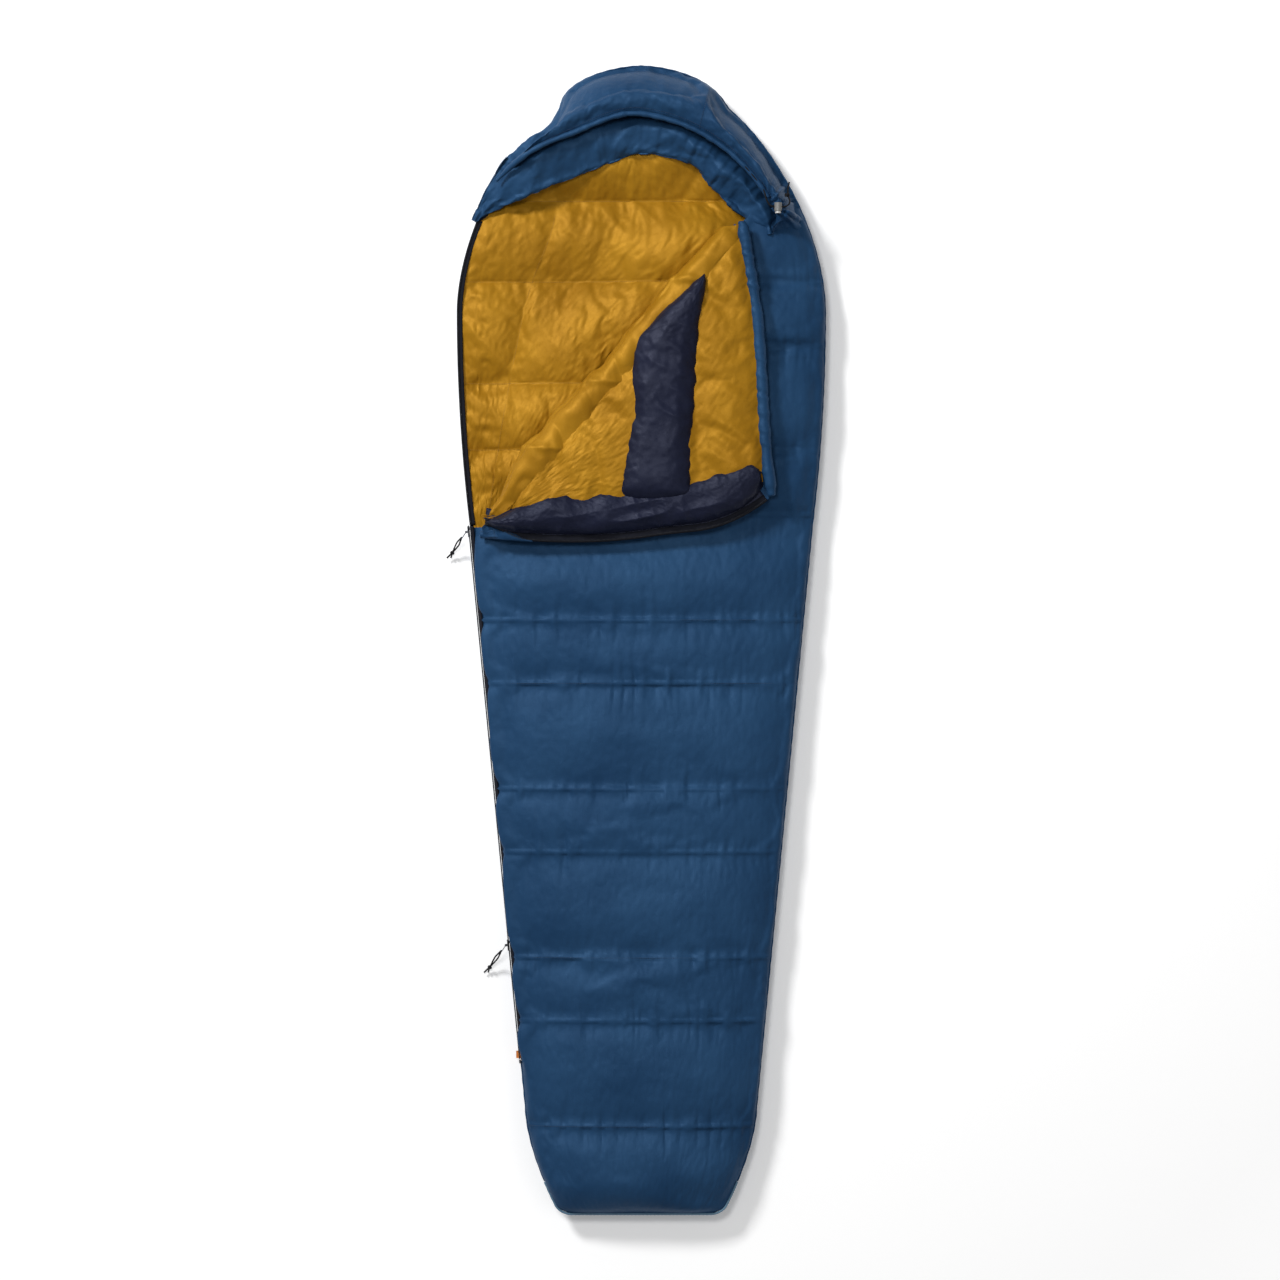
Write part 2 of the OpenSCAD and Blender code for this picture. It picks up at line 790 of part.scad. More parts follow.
back_shell();
back_down_fill();
back_baffle_walls();
back_liner();
top_shell();
top_down_fill();
top_baffle_walls();
top_liner();
footbox_shell();
footbox_down_fill();
footbox_liner();
footbox_piping();
hood_shell();
hood_down_fill();
hood_baffle_wall();
hood_liner();
hood_crown_fill();
face_muff_cover();
face_muff_fill();
drawcord_channel();
hood_drawcord();
cord_lock_barrel();
cord_lock_spring();
cord_lock_button();
flap_shell();
flap_down_fill();
flap_baffle_walls();
flap_liner();
draft_collar_cover();
draft_collar_fill();
draft_tube_cover();
draft_tube_fill();
chest_edge_binding();
flap_zip_facing();
zip_tape_back();
zip_tape_top();
zip_tape_flap();
zip_coil_back();
zip_coil_top();
zip_coil_flap();
zip_tape_hood();
zip_top_stop();
zip_bottom_stop();
zip_facing_back();
upper_slider();
upper_pull_tab();
upper_pull_cord();
lower_slider();
lower_pull_tab();
lower_pull_cord();
side_loop_tab();
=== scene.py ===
"""A mummy sleeping bag lying flat on the floor at z = 0, in metres.

It runs along Y with the foot at -Y and the hood at +Y. Left is -X and right is +X, seen from
above. The zip follows the left edge. It is open above y = OPEN, and the top layer's corner is
folded across to the right, so its lining faces up.
"""
import json
import math
import bpy, bmesh
import numpy as np
from mathutils import Vector
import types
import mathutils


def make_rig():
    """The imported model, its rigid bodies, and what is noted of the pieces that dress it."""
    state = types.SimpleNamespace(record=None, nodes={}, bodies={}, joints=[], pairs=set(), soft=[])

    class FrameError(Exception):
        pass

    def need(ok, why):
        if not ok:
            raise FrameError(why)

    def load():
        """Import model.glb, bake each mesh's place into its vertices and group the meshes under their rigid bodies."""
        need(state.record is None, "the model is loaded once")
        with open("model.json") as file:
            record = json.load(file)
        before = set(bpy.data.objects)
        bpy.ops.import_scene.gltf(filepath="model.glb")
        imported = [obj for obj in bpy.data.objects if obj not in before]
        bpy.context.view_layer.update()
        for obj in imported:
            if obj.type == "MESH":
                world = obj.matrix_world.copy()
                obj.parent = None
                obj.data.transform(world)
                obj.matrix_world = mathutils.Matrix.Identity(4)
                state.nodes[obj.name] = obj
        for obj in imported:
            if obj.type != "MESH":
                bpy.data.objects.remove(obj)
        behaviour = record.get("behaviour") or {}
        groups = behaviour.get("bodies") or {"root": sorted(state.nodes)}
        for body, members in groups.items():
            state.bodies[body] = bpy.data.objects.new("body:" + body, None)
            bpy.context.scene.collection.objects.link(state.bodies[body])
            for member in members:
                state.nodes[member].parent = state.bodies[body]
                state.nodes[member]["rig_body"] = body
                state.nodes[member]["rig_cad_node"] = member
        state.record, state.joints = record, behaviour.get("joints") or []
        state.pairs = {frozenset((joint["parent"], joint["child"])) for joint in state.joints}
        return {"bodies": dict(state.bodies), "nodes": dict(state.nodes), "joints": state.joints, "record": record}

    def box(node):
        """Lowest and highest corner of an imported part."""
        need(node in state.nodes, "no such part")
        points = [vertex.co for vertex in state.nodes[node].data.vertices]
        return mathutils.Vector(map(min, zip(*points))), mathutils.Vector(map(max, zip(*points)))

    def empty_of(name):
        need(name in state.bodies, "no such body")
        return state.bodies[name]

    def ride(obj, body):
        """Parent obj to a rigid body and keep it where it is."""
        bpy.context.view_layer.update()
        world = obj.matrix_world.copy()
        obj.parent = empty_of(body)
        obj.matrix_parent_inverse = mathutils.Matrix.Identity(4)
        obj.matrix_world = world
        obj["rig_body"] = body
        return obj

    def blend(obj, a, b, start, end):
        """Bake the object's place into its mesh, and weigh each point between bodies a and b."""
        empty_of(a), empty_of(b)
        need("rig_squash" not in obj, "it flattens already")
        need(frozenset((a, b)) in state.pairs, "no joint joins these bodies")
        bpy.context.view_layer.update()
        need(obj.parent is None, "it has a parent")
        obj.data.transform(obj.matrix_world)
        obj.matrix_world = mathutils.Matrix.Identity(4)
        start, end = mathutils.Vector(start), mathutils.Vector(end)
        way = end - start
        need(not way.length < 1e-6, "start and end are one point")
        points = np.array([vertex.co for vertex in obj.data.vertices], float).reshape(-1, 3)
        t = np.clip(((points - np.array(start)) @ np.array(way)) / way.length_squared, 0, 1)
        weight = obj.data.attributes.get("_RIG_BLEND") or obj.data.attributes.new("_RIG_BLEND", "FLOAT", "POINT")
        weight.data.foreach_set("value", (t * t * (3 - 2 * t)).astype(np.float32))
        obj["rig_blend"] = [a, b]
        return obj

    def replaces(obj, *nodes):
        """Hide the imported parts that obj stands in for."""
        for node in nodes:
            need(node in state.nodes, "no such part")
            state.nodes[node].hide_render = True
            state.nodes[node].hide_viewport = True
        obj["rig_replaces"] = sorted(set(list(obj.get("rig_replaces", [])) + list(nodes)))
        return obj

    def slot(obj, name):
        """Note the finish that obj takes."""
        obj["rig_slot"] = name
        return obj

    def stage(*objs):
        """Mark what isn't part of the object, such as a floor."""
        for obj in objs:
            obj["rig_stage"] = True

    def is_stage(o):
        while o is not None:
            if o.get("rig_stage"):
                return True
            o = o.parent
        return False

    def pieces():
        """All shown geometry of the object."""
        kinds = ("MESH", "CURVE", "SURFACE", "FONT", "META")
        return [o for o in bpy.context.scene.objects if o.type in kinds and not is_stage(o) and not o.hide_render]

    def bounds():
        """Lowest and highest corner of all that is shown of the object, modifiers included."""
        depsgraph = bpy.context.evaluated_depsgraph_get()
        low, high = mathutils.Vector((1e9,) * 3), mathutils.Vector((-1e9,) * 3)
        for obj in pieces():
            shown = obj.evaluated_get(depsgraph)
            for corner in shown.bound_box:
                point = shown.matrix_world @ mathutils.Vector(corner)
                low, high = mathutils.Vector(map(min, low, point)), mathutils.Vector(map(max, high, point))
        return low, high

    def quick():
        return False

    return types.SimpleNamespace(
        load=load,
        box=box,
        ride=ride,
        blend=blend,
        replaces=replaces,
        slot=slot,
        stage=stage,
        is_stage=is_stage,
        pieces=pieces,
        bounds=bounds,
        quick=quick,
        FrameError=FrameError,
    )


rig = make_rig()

for stale in list(bpy.data.objects):
    bpy.data.objects.remove(stale, do_unlink=True)
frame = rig.load()
CAD_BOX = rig.bounds()

# ---------------------------------------------------------------- driving dimensions
FOOT, CROWN = -1.065, 1.065          # the two ends
TAPER = FOOT + 0.195                 # y where the foot's rounding ends
OPEN = 0.213                         # y where the zip's open run starts
SHOULDER = 0.611                     # y of the widest point
CHEST = 0.772                        # y of the folded corner's chest edge
HALF_FOOT, HALF_TAPER, HALF_OPEN, HALF_SHOULDER = 0.150, 0.214, 0.318, 0.342
SIDE_Z = 0.044                       # height of the outline seam
STEP = 0.0078                        # row spacing of the shells
LINING_STEP = 0.0068                 # row spacing of the linings

# The fold line: a point on it, its direction, and its normal towards the foot and right
FOLD_A = np.array([-0.2926, 0.213])
FOLD_ANGLE = math.radians(49.57)
FOLD_D = np.array([math.cos(FOLD_ANGLE), math.sin(FOLD_ANGLE)])
FOLD_N = np.array([FOLD_D[1], -FOLD_D[0]])
FOLD_Z = 0.0965
FOLD_LENGTH = (CHEST - OPEN) / FOLD_D[1]

LIP_C, LIP_R = np.array([-0.040, 0.654]), 0.320      # circle of the hood's lip
CORD_R = LIP_R - 0.003                               # circle of the drawcord channel
MUFF_C, MUFF_R = np.array([-0.033, 0.618]), 0.318    # circle of the face muff

# Seams across the bag come in pairs: one pair each SEAM_PITCH, PAIR_GAP apart
SEAM_PITCH, PAIR_GAP = 0.312, 0.117
TOP_SEAMS = [0.661 - (i // 2) * SEAM_PITCH - (i % 2) * PAIR_GAP for i in range(11)]
BACK_SEAMS = [0.629 - (i // 2) * SEAM_PITCH - (i % 2) * PAIR_GAP for i in range(10)]
HOOD_SEAM = 0.815
LINER_SEAMS = [HOOD_SEAM] + [s + (0.036 if i % 2 == 0 else -0.036)
                             for i, s in enumerate(BACK_SEAMS)]
CORNER_SEAMS = TOP_SEAMS[3::-1]      # those that cross the folded corner

TAPE_THICK = 0.0008
SIM_FRAMES = 18
RNG = np.random.RandomState(7)


# ---------------------------------------------------------------- profiles
def clip01(x):
    return np.clip(x, 0, 1)


def ramp(x, start, end):
    """Smooth step from 0 at start to 1 at end."""
    t = clip01((np.asarray(x, float) - start) / (end - start))
    return t * t * (3 - 2 * t)


def bell(distance, width):
    return np.exp(-(distance / width) ** 2)


def hump(fraction, power):
    """1 in the middle of a chamber and 0 at its seams."""
    return 1 - np.abs(2 * fraction - 1) ** power


def round_off(distance, reach, power=2.3):
    """Rounded edge: 0 at no distance, 1 from reach inwards."""
    return (1 - (1 - clip01(distance / reach)) ** power) ** (1 / power)


def noise(x, y, seed):
    """Smooth value noise on a lattice of unit cells, from a seeded table."""
    table = np.random.RandomState(seed).uniform(-1, 1, (128, 128))
    x, y = np.asarray(x, float), np.asarray(y, float)
    xi, yi = np.floor(x).astype(int), np.floor(y).astype(int)
    fx, fy = x - xi, y - yi
    fx, fy = fx * fx * (3 - 2 * fx), fy * fy * (3 - 2 * fy)

    def cell(i, j):
        return table[i % 128, j % 128]

    return ((cell(xi, yi) * (1 - fx) + cell(xi + 1, yi) * fx) * (1 - fy)
            + (cell(xi, yi + 1) * (1 - fx) + cell(xi + 1, yi + 1) * fx) * fy)


def crease(u, v, seed):
    """Sharp-crested folds from ridged noise."""
    return 1 - 2 * np.abs(noise(u, v, seed)) - 0.35


def polar(x, y, center_x, center_y):
    """Angle and distance about a centre."""
    return (np.arctan2(y - center_y, x - center_x), np.hypot(y - center_y, x - center_x))


# ---------------------------------------------------------------- outline and fold
def half_w(y):
    """Half width of the bag."""
    y = np.asarray(y, float)
    s = clip01((y - FOOT) / (TAPER - FOOT))
    foot = (HALF_FOOT + (HALF_TAPER - HALF_FOOT) * (1 - (1 - s) ** 1.6)
            - 0.020 * (1 - round_off(y - FOOT, 0.016, 2)))
    leg = HALF_TAPER + (HALF_OPEN - HALF_TAPER) * (y - TAPER) / (OPEN - TAPER)
    s = clip01((y - OPEN) / (SHOULDER - OPEN))
    chest = HALF_SHOULDER - (HALF_SHOULDER - HALF_OPEN) * (1 - s) ** 2
    s = clip01((y - SHOULDER) / (CROWN - SHOULDER))
    head = HALF_SHOULDER * (1 - s ** 1.75) ** 0.6
    return np.where(y < TAPER, foot, np.where(y < OPEN, leg, np.where(y < SHOULDER, chest, head)))


def hood_w(y, side):
    """Half width of the hood's fabric: flatter at the crown, a little hollow on the left."""
    y = np.asarray(y, float)
    w = half_w(y) * (1 + 0.42 * clip01((y - 0.985) / 0.08) ** 1.2)
    if side < 0:
        return w - 0.024 * bell(y - 0.948, 0.042) + 0.006 * bell(y - 0.885, 0.02)
    return w + 0.002 * bell(y - 0.955, 0.06)


def seam_w(y, side):
    """Half width along the whole outline seam, bag into hood."""
    return half_w(y) + (hood_w(y, side) - half_w(y)) * ramp(y, 0.79, 0.83)


def hinge_x(y):
    """x of the fold line."""
    return FOLD_A[0] + (np.asarray(y) - FOLD_A[1]) * FOLD_D[0] / FOLD_D[1]


def corner_x(y):
    """x of the corner's zip edge while it is closed."""
    t = clip01((np.asarray(y) - 0.209) / (CHEST - 0.209))
    return -(half_w(y) + 0.026 * np.sin(math.pi * t))


def fold_distance(x, y):
    """Distance from the fold line, positive on the side that stays down."""
    return (x - FOLD_A[0]) * FOLD_N[0] + (y - FOLD_A[1]) * FOLD_N[1]


def drape(points):
    """The folded corner hangs a little towards the foot at its free end."""
    points = np.array(points, float)
    w = ramp(points[..., 0], 0.02, 0.26) * ramp(-points[..., 1], -0.64, -0.32)
    points[..., 0] -= 0.022 * w
    points[..., 1] -= 0.028 * w
    return points


def folded(points):
    """Turns closed-corner coordinates half a turn about the fold line, then drapes them."""
    origin = np.array([*FOLD_A, FOLD_Z])
    axis = np.array([*FOLD_D, 0.0])
    r = np.asarray(points) - origin
    return drape(origin + 2 * (r @ axis)[..., None] * axis - r)


def open_path(y, inset, height):
    """A path inset from the corner's zip edge, folded open, at a height above the floor."""
    edge = xyz(corner_x(y), y, 2 * FOLD_Z - np.broadcast_to(height, len(y)))
    return folded(edge + plane_normals(edge) * np.broadcast_to(inset, len(y))[:, None])


# ---------------------------------------------------------------- rows, seams and paths
def rows_between(marks, step):
    """Rows about a step apart that land exactly on every mark."""
    rows = []
    for a, b in zip(marks[:-1], marks[1:]):
        rows += list(np.linspace(a, b, max(3, int(round((b - a) / step))), endpoint=False))
    return np.array(rows + [marks[-1]])


def chambers(y, seams):
    """Position within its chamber, 0 and 1 at the seams, and that chamber's width."""
    s = np.sort(np.asarray(seams))
    i = np.clip(np.searchsorted(s, y, side="right") - 1, 0, len(s) - 2)
    return clip01((y - s[i]) / (s[i + 1] - s[i])), s[i + 1] - s[i]


def seam_distance(y, seams):
    return np.min(np.abs(np.asarray(y)[..., None] - np.asarray(seams)), axis=-1)


def on_seam(y, seams):
    return seam_distance(y, seams) < 0.0009


def xyz(x, y, z):
    """Points from coordinates that broadcast together."""
    return np.stack(np.broadcast_arrays(x, y, z), -1)


def unit(v):
    return v / (np.linalg.norm(v, axis=-1, keepdims=True) + 1e-12)


def span(edge_a, edge_b, share):
    """Rows of points from one edge curve to the other, at each share of the way."""
    return edge_a[:, None] + (edge_b - edge_a)[:, None] * share[None, :, None]


def section(count, power, aspect, end=math.pi):
    """Unit superellipse from the right side (angle 0) to end, at nearly even spacing."""
    def at(theta):
        c, s = np.cos(theta), np.sin(theta)
        return np.sign(c) * np.abs(c) ** (2 / power), np.abs(s) ** (2 / power)

    t = np.linspace(0, end, 2001)
    x, z = at(t)
    length = np.concatenate([[0], np.cumsum(np.hypot(np.diff(x), np.diff(z) * aspect))])
    return at(np.interp(np.linspace(0, length[-1], count), length, t))


def run_length(path):
    return np.concatenate([[0], np.cumsum(np.linalg.norm(np.diff(path, axis=0), axis=1))])


def interp_along(length, values, at):
    return np.stack([np.interp(at, length, column) for column in values.T], -1)


def resample(path, count):
    length = run_length(path)
    return interp_along(length, path, np.linspace(0, length[-1], count))


def spline(points, count):
    """Catmull-Rom curve through the points, resampled at even spacing."""
    p = np.asarray(points, float)
    q = np.vstack([2 * p[0] - p[1], p, 2 * p[-1] - p[-2]])
    t = np.linspace(0, 1, 24, endpoint=False)[:, None]
    out = []
    for a, b, c, d in zip(q, q[1:], q[2:], q[3:]):
        out.append(0.5 * ((2 * b) + (c - a) * t + (2 * a - 5 * b + 4 * c - d) * t ** 2
                          + (3 * b - a - 3 * c + d) * t ** 3))
    return resample(np.vstack(out + [p[-1:]]), count)


def arc_points(center, radius, degrees):
    a = np.radians(degrees)
    return center + radius * np.stack([np.cos(a), np.sin(a)], -1)


def lower_left(path):
    """Drops the left part of a hood curve towards the foot."""
    path[:, 1] -= 0.027 * ramp(-path[:, 0], 0.0, 0.14)
    return path


def plane_normals(path):
    """Unit normals of a path within the floor plane."""
    tangent = np.gradient(path, axis=0)
    tangent[:, 2] = 0
    tangent = unit(tangent)
    return xyz(tangent[:, 1], -tangent[:, 0], 0.0)


def inward(path):
    """Plane normals of a left-hand edge, turned towards +X."""
    normals = -plane_normals(path)
    return normals * np.sign(normals[:, :1])


# ---------------------------------------------------------------- meshes
def new_mesh(name, verts, faces):
    mesh = bpy.data.meshes.new(name)
    mesh.from_pydata([tuple(v) for v in verts], [], [tuple(int(i) for i in f) for f in faces])
    mesh.update()
    mesh.polygons.foreach_set("use_smooth", [True] * len(mesh.polygons))
    obj = bpy.data.objects.new(name, mesh)
    bpy.context.scene.collection.objects.link(obj)
    return obj


def grid_faces(rows, cols, wrap=False, flip=False):
    v, u = np.meshgrid(np.arange(rows - 1), np.arange(cols if wrap else cols - 1), indexing="ij")
    u2 = (u + 1) % cols
    corners = [v * cols + u, v * cols + u2, (v + 1) * cols + u2, (v + 1) * cols + u]
    faces = np.stack(corners, -1).reshape(-1, 4)
    return faces[:, ::-1] if flip else faces


def sheet(name, points, flip=False):
    """An open grid of points, rows by columns."""
    rows, cols = points.shape[:2]
    return new_mesh(name, points.reshape(-1, 3), grid_faces(rows, cols, flip=flip))


def loft(name, rings):
    """Closed rings joined in turn, capped at both ends."""
    n, m = rings.shape[:2]
    faces = list(grid_faces(n, m, wrap=True))
    faces += [range(m)[::-1], range((n - 1) * m, n * m)]
    return new_mesh(name, rings.reshape(-1, 3), faces)


def tube(name, path, radius, sides=12):
    """A round capped tube; radius is one value or one per point."""
    path = np.asarray(path, float)
    n = len(path)
    tangents = unit(np.gradient(path, axis=0))
    up = (0, 0, 1.0) if abs(tangents[0][2]) < 0.9 else (1.0, 0, 0)
    across = unit(np.cross(tangents[0], up))
    turn = (2 * math.pi * np.arange(sides) / sides)[:, None]
    rings = []
    for point, tangent, r in zip(path, tangents, np.broadcast_to(radius, n)):
        across = unit(across - tangent * (across @ tangent))
        other = np.cross(tangent, across)
        rings.append(point + r * (np.cos(turn) * across + np.sin(turn) * other))
    faces = list(np.roll(grid_faces(n, sides, wrap=True, flip=True), 1, axis=1))
    faces += [range(sides), range((n - 1) * sides, n * sides)[::-1]]
    return new_mesh(name, np.vstack(rings), faces)


def bars(name, verts):
    """Many short four-sided bars. verts is (bars, ring points, 3), four points to a ring."""
    count, size = verts.shape[:2]
    one = np.vstack([grid_faces(size // 4, 4, wrap=True),
                     [(0, 3, 2, 1), (size - 4, size - 3, size - 2, size - 1)]])
    faces = one[None] + np.arange(count)[:, None, None] * size
    return new_mesh(name, verts.reshape(-1, 3), faces.reshape(-1, 4))


def ribbon(name, path, side, start, end, rows=5):
    """A flat, slightly wavy tape beside a path, from start to end along side."""
    side = np.broadcast_to(np.asarray(side, float), path.shape)
    t = np.linspace(start, end, rows)
    wave = (0.00025 * np.sin(np.arange(len(path)) * 1.7)[:, None]
            * np.sin(t / (end - start) * 6.0)[None])
    faces = []
    for lift in (TAPE_THICK / 2, -TAPE_THICK / 2):
        face = path[:, None] + side[:, None] * t[None, :, None]
        face[..., 2] += lift + wave
        faces.append(face)
    return loft(name, np.concatenate([faces[0], faces[1][:, ::-1]], axis=1))


COIL_PITCH, COIL_WIRE = 0.0023, 0.00062
# One tooth: place across the coil and height over it, as shares of its width and height
COIL_ARCH = [(-0.5, 0.0), (-0.42, 0.75), (0.0, 1.0), (0.42, 0.8), (0.5, 0.1)]


def coil(name, path, side, width, height, up=(0, 0, 1)):
    """The turns of a nylon coil: one bent wire arch per tooth, set across the path."""
    length = run_length(path)
    at = np.arange(COIL_PITCH / 2, length[-1], COIL_PITCH)
    p, sd, u = (interp_along(length, np.broadcast_to(np.asarray(v, float), path.shape), at)
                for v in (path, side, up))
    t = unit(np.cross(sd, u))
    verts = []
    for a, b in COIL_ARCH:
        center = p + sd * (a * width) + u * (b * height) + t * (a * 0.0006)
        lean = u * 0.8 + sd * (0.6 if a > 0 else -0.6)
        for k in range(4):
            turn = math.pi / 2 * k
            verts.append(center + t * (COIL_WIRE * math.cos(turn))
                         + lean * (COIL_WIRE * math.sin(turn)))
    return bars(name, np.stack(verts, 1))


STITCHES = {}
STITCH_PITCH, STITCH_LENGTH, STITCH_LIFT = 0.0042, 0.0030, 0.0006


def stitch(group, path, up=(0, 0, 1)):
    """Collects a row of stitches along a path; each group becomes one mesh later."""
    length = run_length(path)
    if length[-1] < 0.01:
        return
    at = np.arange(0.002, length[-1] - 0.002, STITCH_PITCH)
    start = interp_along(length, path, at)
    end = interp_along(length, path, at + STITCH_LENGTH)
    STITCHES.setdefault(group, []).append((start, end, np.broadcast_to(up, start.shape)))


def make_stitches(group):
    start, end, up = (np.concatenate(part) for part in zip(*STITCHES[group]))
    t = unit(end - start)
    side = unit(np.cross(t, up))
    rise = np.cross(side, t)
    verts = []
    # base, half thickness, height over the cloth
    for base, w, h in ((start, 0.00025, 0.0), ((start + end) / 2, 0.00045, 0.00045),
                       (end, 0.00025, 0.0)):
        c = base + rise * (STITCH_LIFT + h)
        verts += [c + side * w, c + rise * w, c - side * w, c - rise * w]
    return bars(group, np.stack(verts, 1))


def read_vectors(obj, attribute):
    values = np.zeros(len(obj.data.vertices) * 3)
    obj.data.vertices.foreach_get(attribute, values)
    return values.reshape(-1, 3)


def set_co(obj, co):
    obj.data.vertices.foreach_set("co", np.asarray(co, float).ravel())
    obj.data.update()


def subdivide(obj):
    """Applies one level of subdivision."""
    modifier = obj.modifiers.new("s", "SUBSURF")
    modifier.levels = modifier.render_levels = 1
    depsgraph = bpy.context.evaluated_depsgraph_get()
    mesh = bpy.data.meshes.new_from_object(obj.evaluated_get(depsgraph))
    old = obj.data
    obj.modifiers.clear()
    obj.data = mesh
    obj.vertex_groups.clear()
    bpy.data.meshes.remove(old)


def relief(obj, field, fine=True, floor=-np.inf, ceiling=np.inf):
    """Subdivides if fine, then moves each point along its normal by field(x, y, z, normal z)."""
    if fine:
        subdivide(obj)
    co, normal = read_vectors(obj, "co"), read_vectors(obj, "normal")
    co = co + normal * field(*co.T, normal[:, 2])[:, None]
    co[:, 2] = np.clip(co[:, 2], floor, ceiling)
    set_co(obj, co)


def join(name, objs):
    verts, faces, base = [], [], 0
    for obj in objs:
        co = read_vectors(obj, "co")
        verts.append(co)
        faces += [tuple(base + i for i in p.vertices) for p in obj.data.polygons]
        base += len(co)
        bpy.data.objects.remove(obj)
    return new_mesh(name, np.vstack(verts), faces)


def pillow(edge_a, edge_b, base, height, rows, cols, power, seed, waves, amp, ends):
    """A soft pad between two edge curves, domed over a flat base: its points and pins."""
    a, b = spline(edge_a, rows), spline(edge_b, rows)
    s = np.linspace(0, 1, rows)[:, None]
    width = np.linalg.norm(b - a, axis=1)[:, None]
    across, lift = section(cols, power, 0.5)
    u = (1 - across) / 2
    cap = clip01(width / (width.max() * ends * 3)) ** 0.5
    z = base + height * cap * lift
    z += amp * noise(s * waves + 0.4 * u, u * 1.5, seed) * lift * cap
    return np.dstack([span(a, b, u), z]), rim_pins(z.shape)


# ---------------------------------------------------------------- cloth
CLOTHS = []
CLOTH_SETTINGS = dict(
    quality=4, mass=0.15, air_damping=4.0, tension_damping=8, compression_damping=8,
    shear_damping=8, vertex_group_mass="pin", pin_stiffness=1.0, use_pressure=True)


def rim_pins(shape, rows=None, hold=1):
    """Pins of a grid: the four edges at 1 and chosen rows at hold."""
    pin = np.zeros(shape)
    if rows is not None:
        pin[rows] = hold
    pin[0] = pin[-1] = 1
    pin[:, 0] = pin[:, -1] = 1
    return pin


def jitter(points, pin, amp):
    """Breaks the evenness of unpinned points, so that pressure raises uneven folds."""
    points[..., 2] += RNG.normal(0, amp, points.shape[:-1]) * (1 - pin)


def cloth(obj, pin, pressure, grow, cap, bend, stiff=12, floor_z=-np.inf):
    """Queues a piece for the shared simulation. cap is the furthest a point may travel."""
    group = obj.vertex_groups.new(name="pin")
    pin = np.round(np.asarray(pin).ravel(), 2)
    for weight in np.unique(pin):
        if weight > 0:
            group.add([int(i) for i in np.nonzero(pin == weight)[0]], float(weight), "REPLACE")
    CLOTHS.append(dict(obj=obj, rest=read_vectors(obj, "co"), cap=cap, pressure=pressure,
                       grow=grow, bend=bend, stiff=stiff, floor_z=floor_z))


def add_cloth(piece):
    modifier = piece["obj"].modifiers.new("Cloth", "CLOTH")
    settings = modifier.settings
    for key, value in CLOTH_SETTINGS.items():
        setattr(settings, key, value)
    for kind in ("tension", "compression", "shear"):
        setattr(settings, kind + "_stiffness", piece["stiff"])
    settings.bending_stiffness = piece["bend"]
    settings.uniform_pressure_force = piece["pressure"]
    settings.shrink_min = -piece["grow"]
    settings.effector_weights.gravity = 0
    modifier.collision_settings.use_collision = False
    modifier.collision_settings.use_self_collision = False
    modifier.point_cache.frame_start, modifier.point_cache.frame_end = 1, SIM_FRAMES


def keep_result(piece, depsgraph):
    """Writes the simulated shape into the mesh, with each point's travel capped."""
    obj, rest = piece["obj"], piece["rest"]
    mesh = bpy.data.meshes.new_from_object(obj.evaluated_get(depsgraph))
    co = np.zeros(len(mesh.vertices) * 3)
    mesh.vertices.foreach_get("co", co)
    move = co.reshape(-1, 3) - rest
    travel = np.linalg.norm(move, axis=1)
    co = rest + move * (np.minimum(travel, piece["cap"]) / np.maximum(travel, 1e-9))[:, None]
    co[:, 2] = np.maximum(co[:, 2], piece["floor_z"])
    obj.modifiers.clear()
    set_co(obj, co)
    bpy.data.meshes.remove(mesh)


def simulate():
    scene = bpy.context.scene
    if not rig.quick():
        for piece in CLOTHS:
            add_cloth(piece)
        for f in range(1, SIM_FRAMES + 1):
            scene.frame_set(f)
        depsgraph = bpy.context.evaluated_depsgraph_get()
        for piece in CLOTHS:
            keep_result(piece, depsgraph)
        scene.frame_set(1)
    for piece in CLOTHS:
        piece["obj"].vertex_groups.clear()


# ---------------------------------------------------------------- materials
def wire(node, inputs):
    """Sets each input to a value, or links it when given an output socket."""
    for key, value in inputs.items():
        if isinstance(value, bpy.types.NodeSocket):
            node.id_data.links.new(value, node.inputs[key])
        else:
            node.inputs[key].default_value = value


def add(tree, kind, inputs=(), out=0, **properties):
    """Adds a shader node and returns one of its outputs."""
    node = tree.nodes.new("ShaderNode" + kind)
    for key, value in properties.items():
        setattr(node, key, value)
    wire(node, dict(inputs))
    return node.outputs[out]


def new_material(name):
    mat = bpy.data.materials.new(name)
    mat.use_nodes = True
    return mat, mat.node_tree, mat.node_tree.nodes["Principled BSDF"]


def linear(rgb):
    """Linear colour from 0-255 sRGB."""
    return [c / 255 / 12.92 if c / 255 <= 0.04045 else ((c / 255 + 0.055) / 1.055) ** 2.4
            for c in rgb]


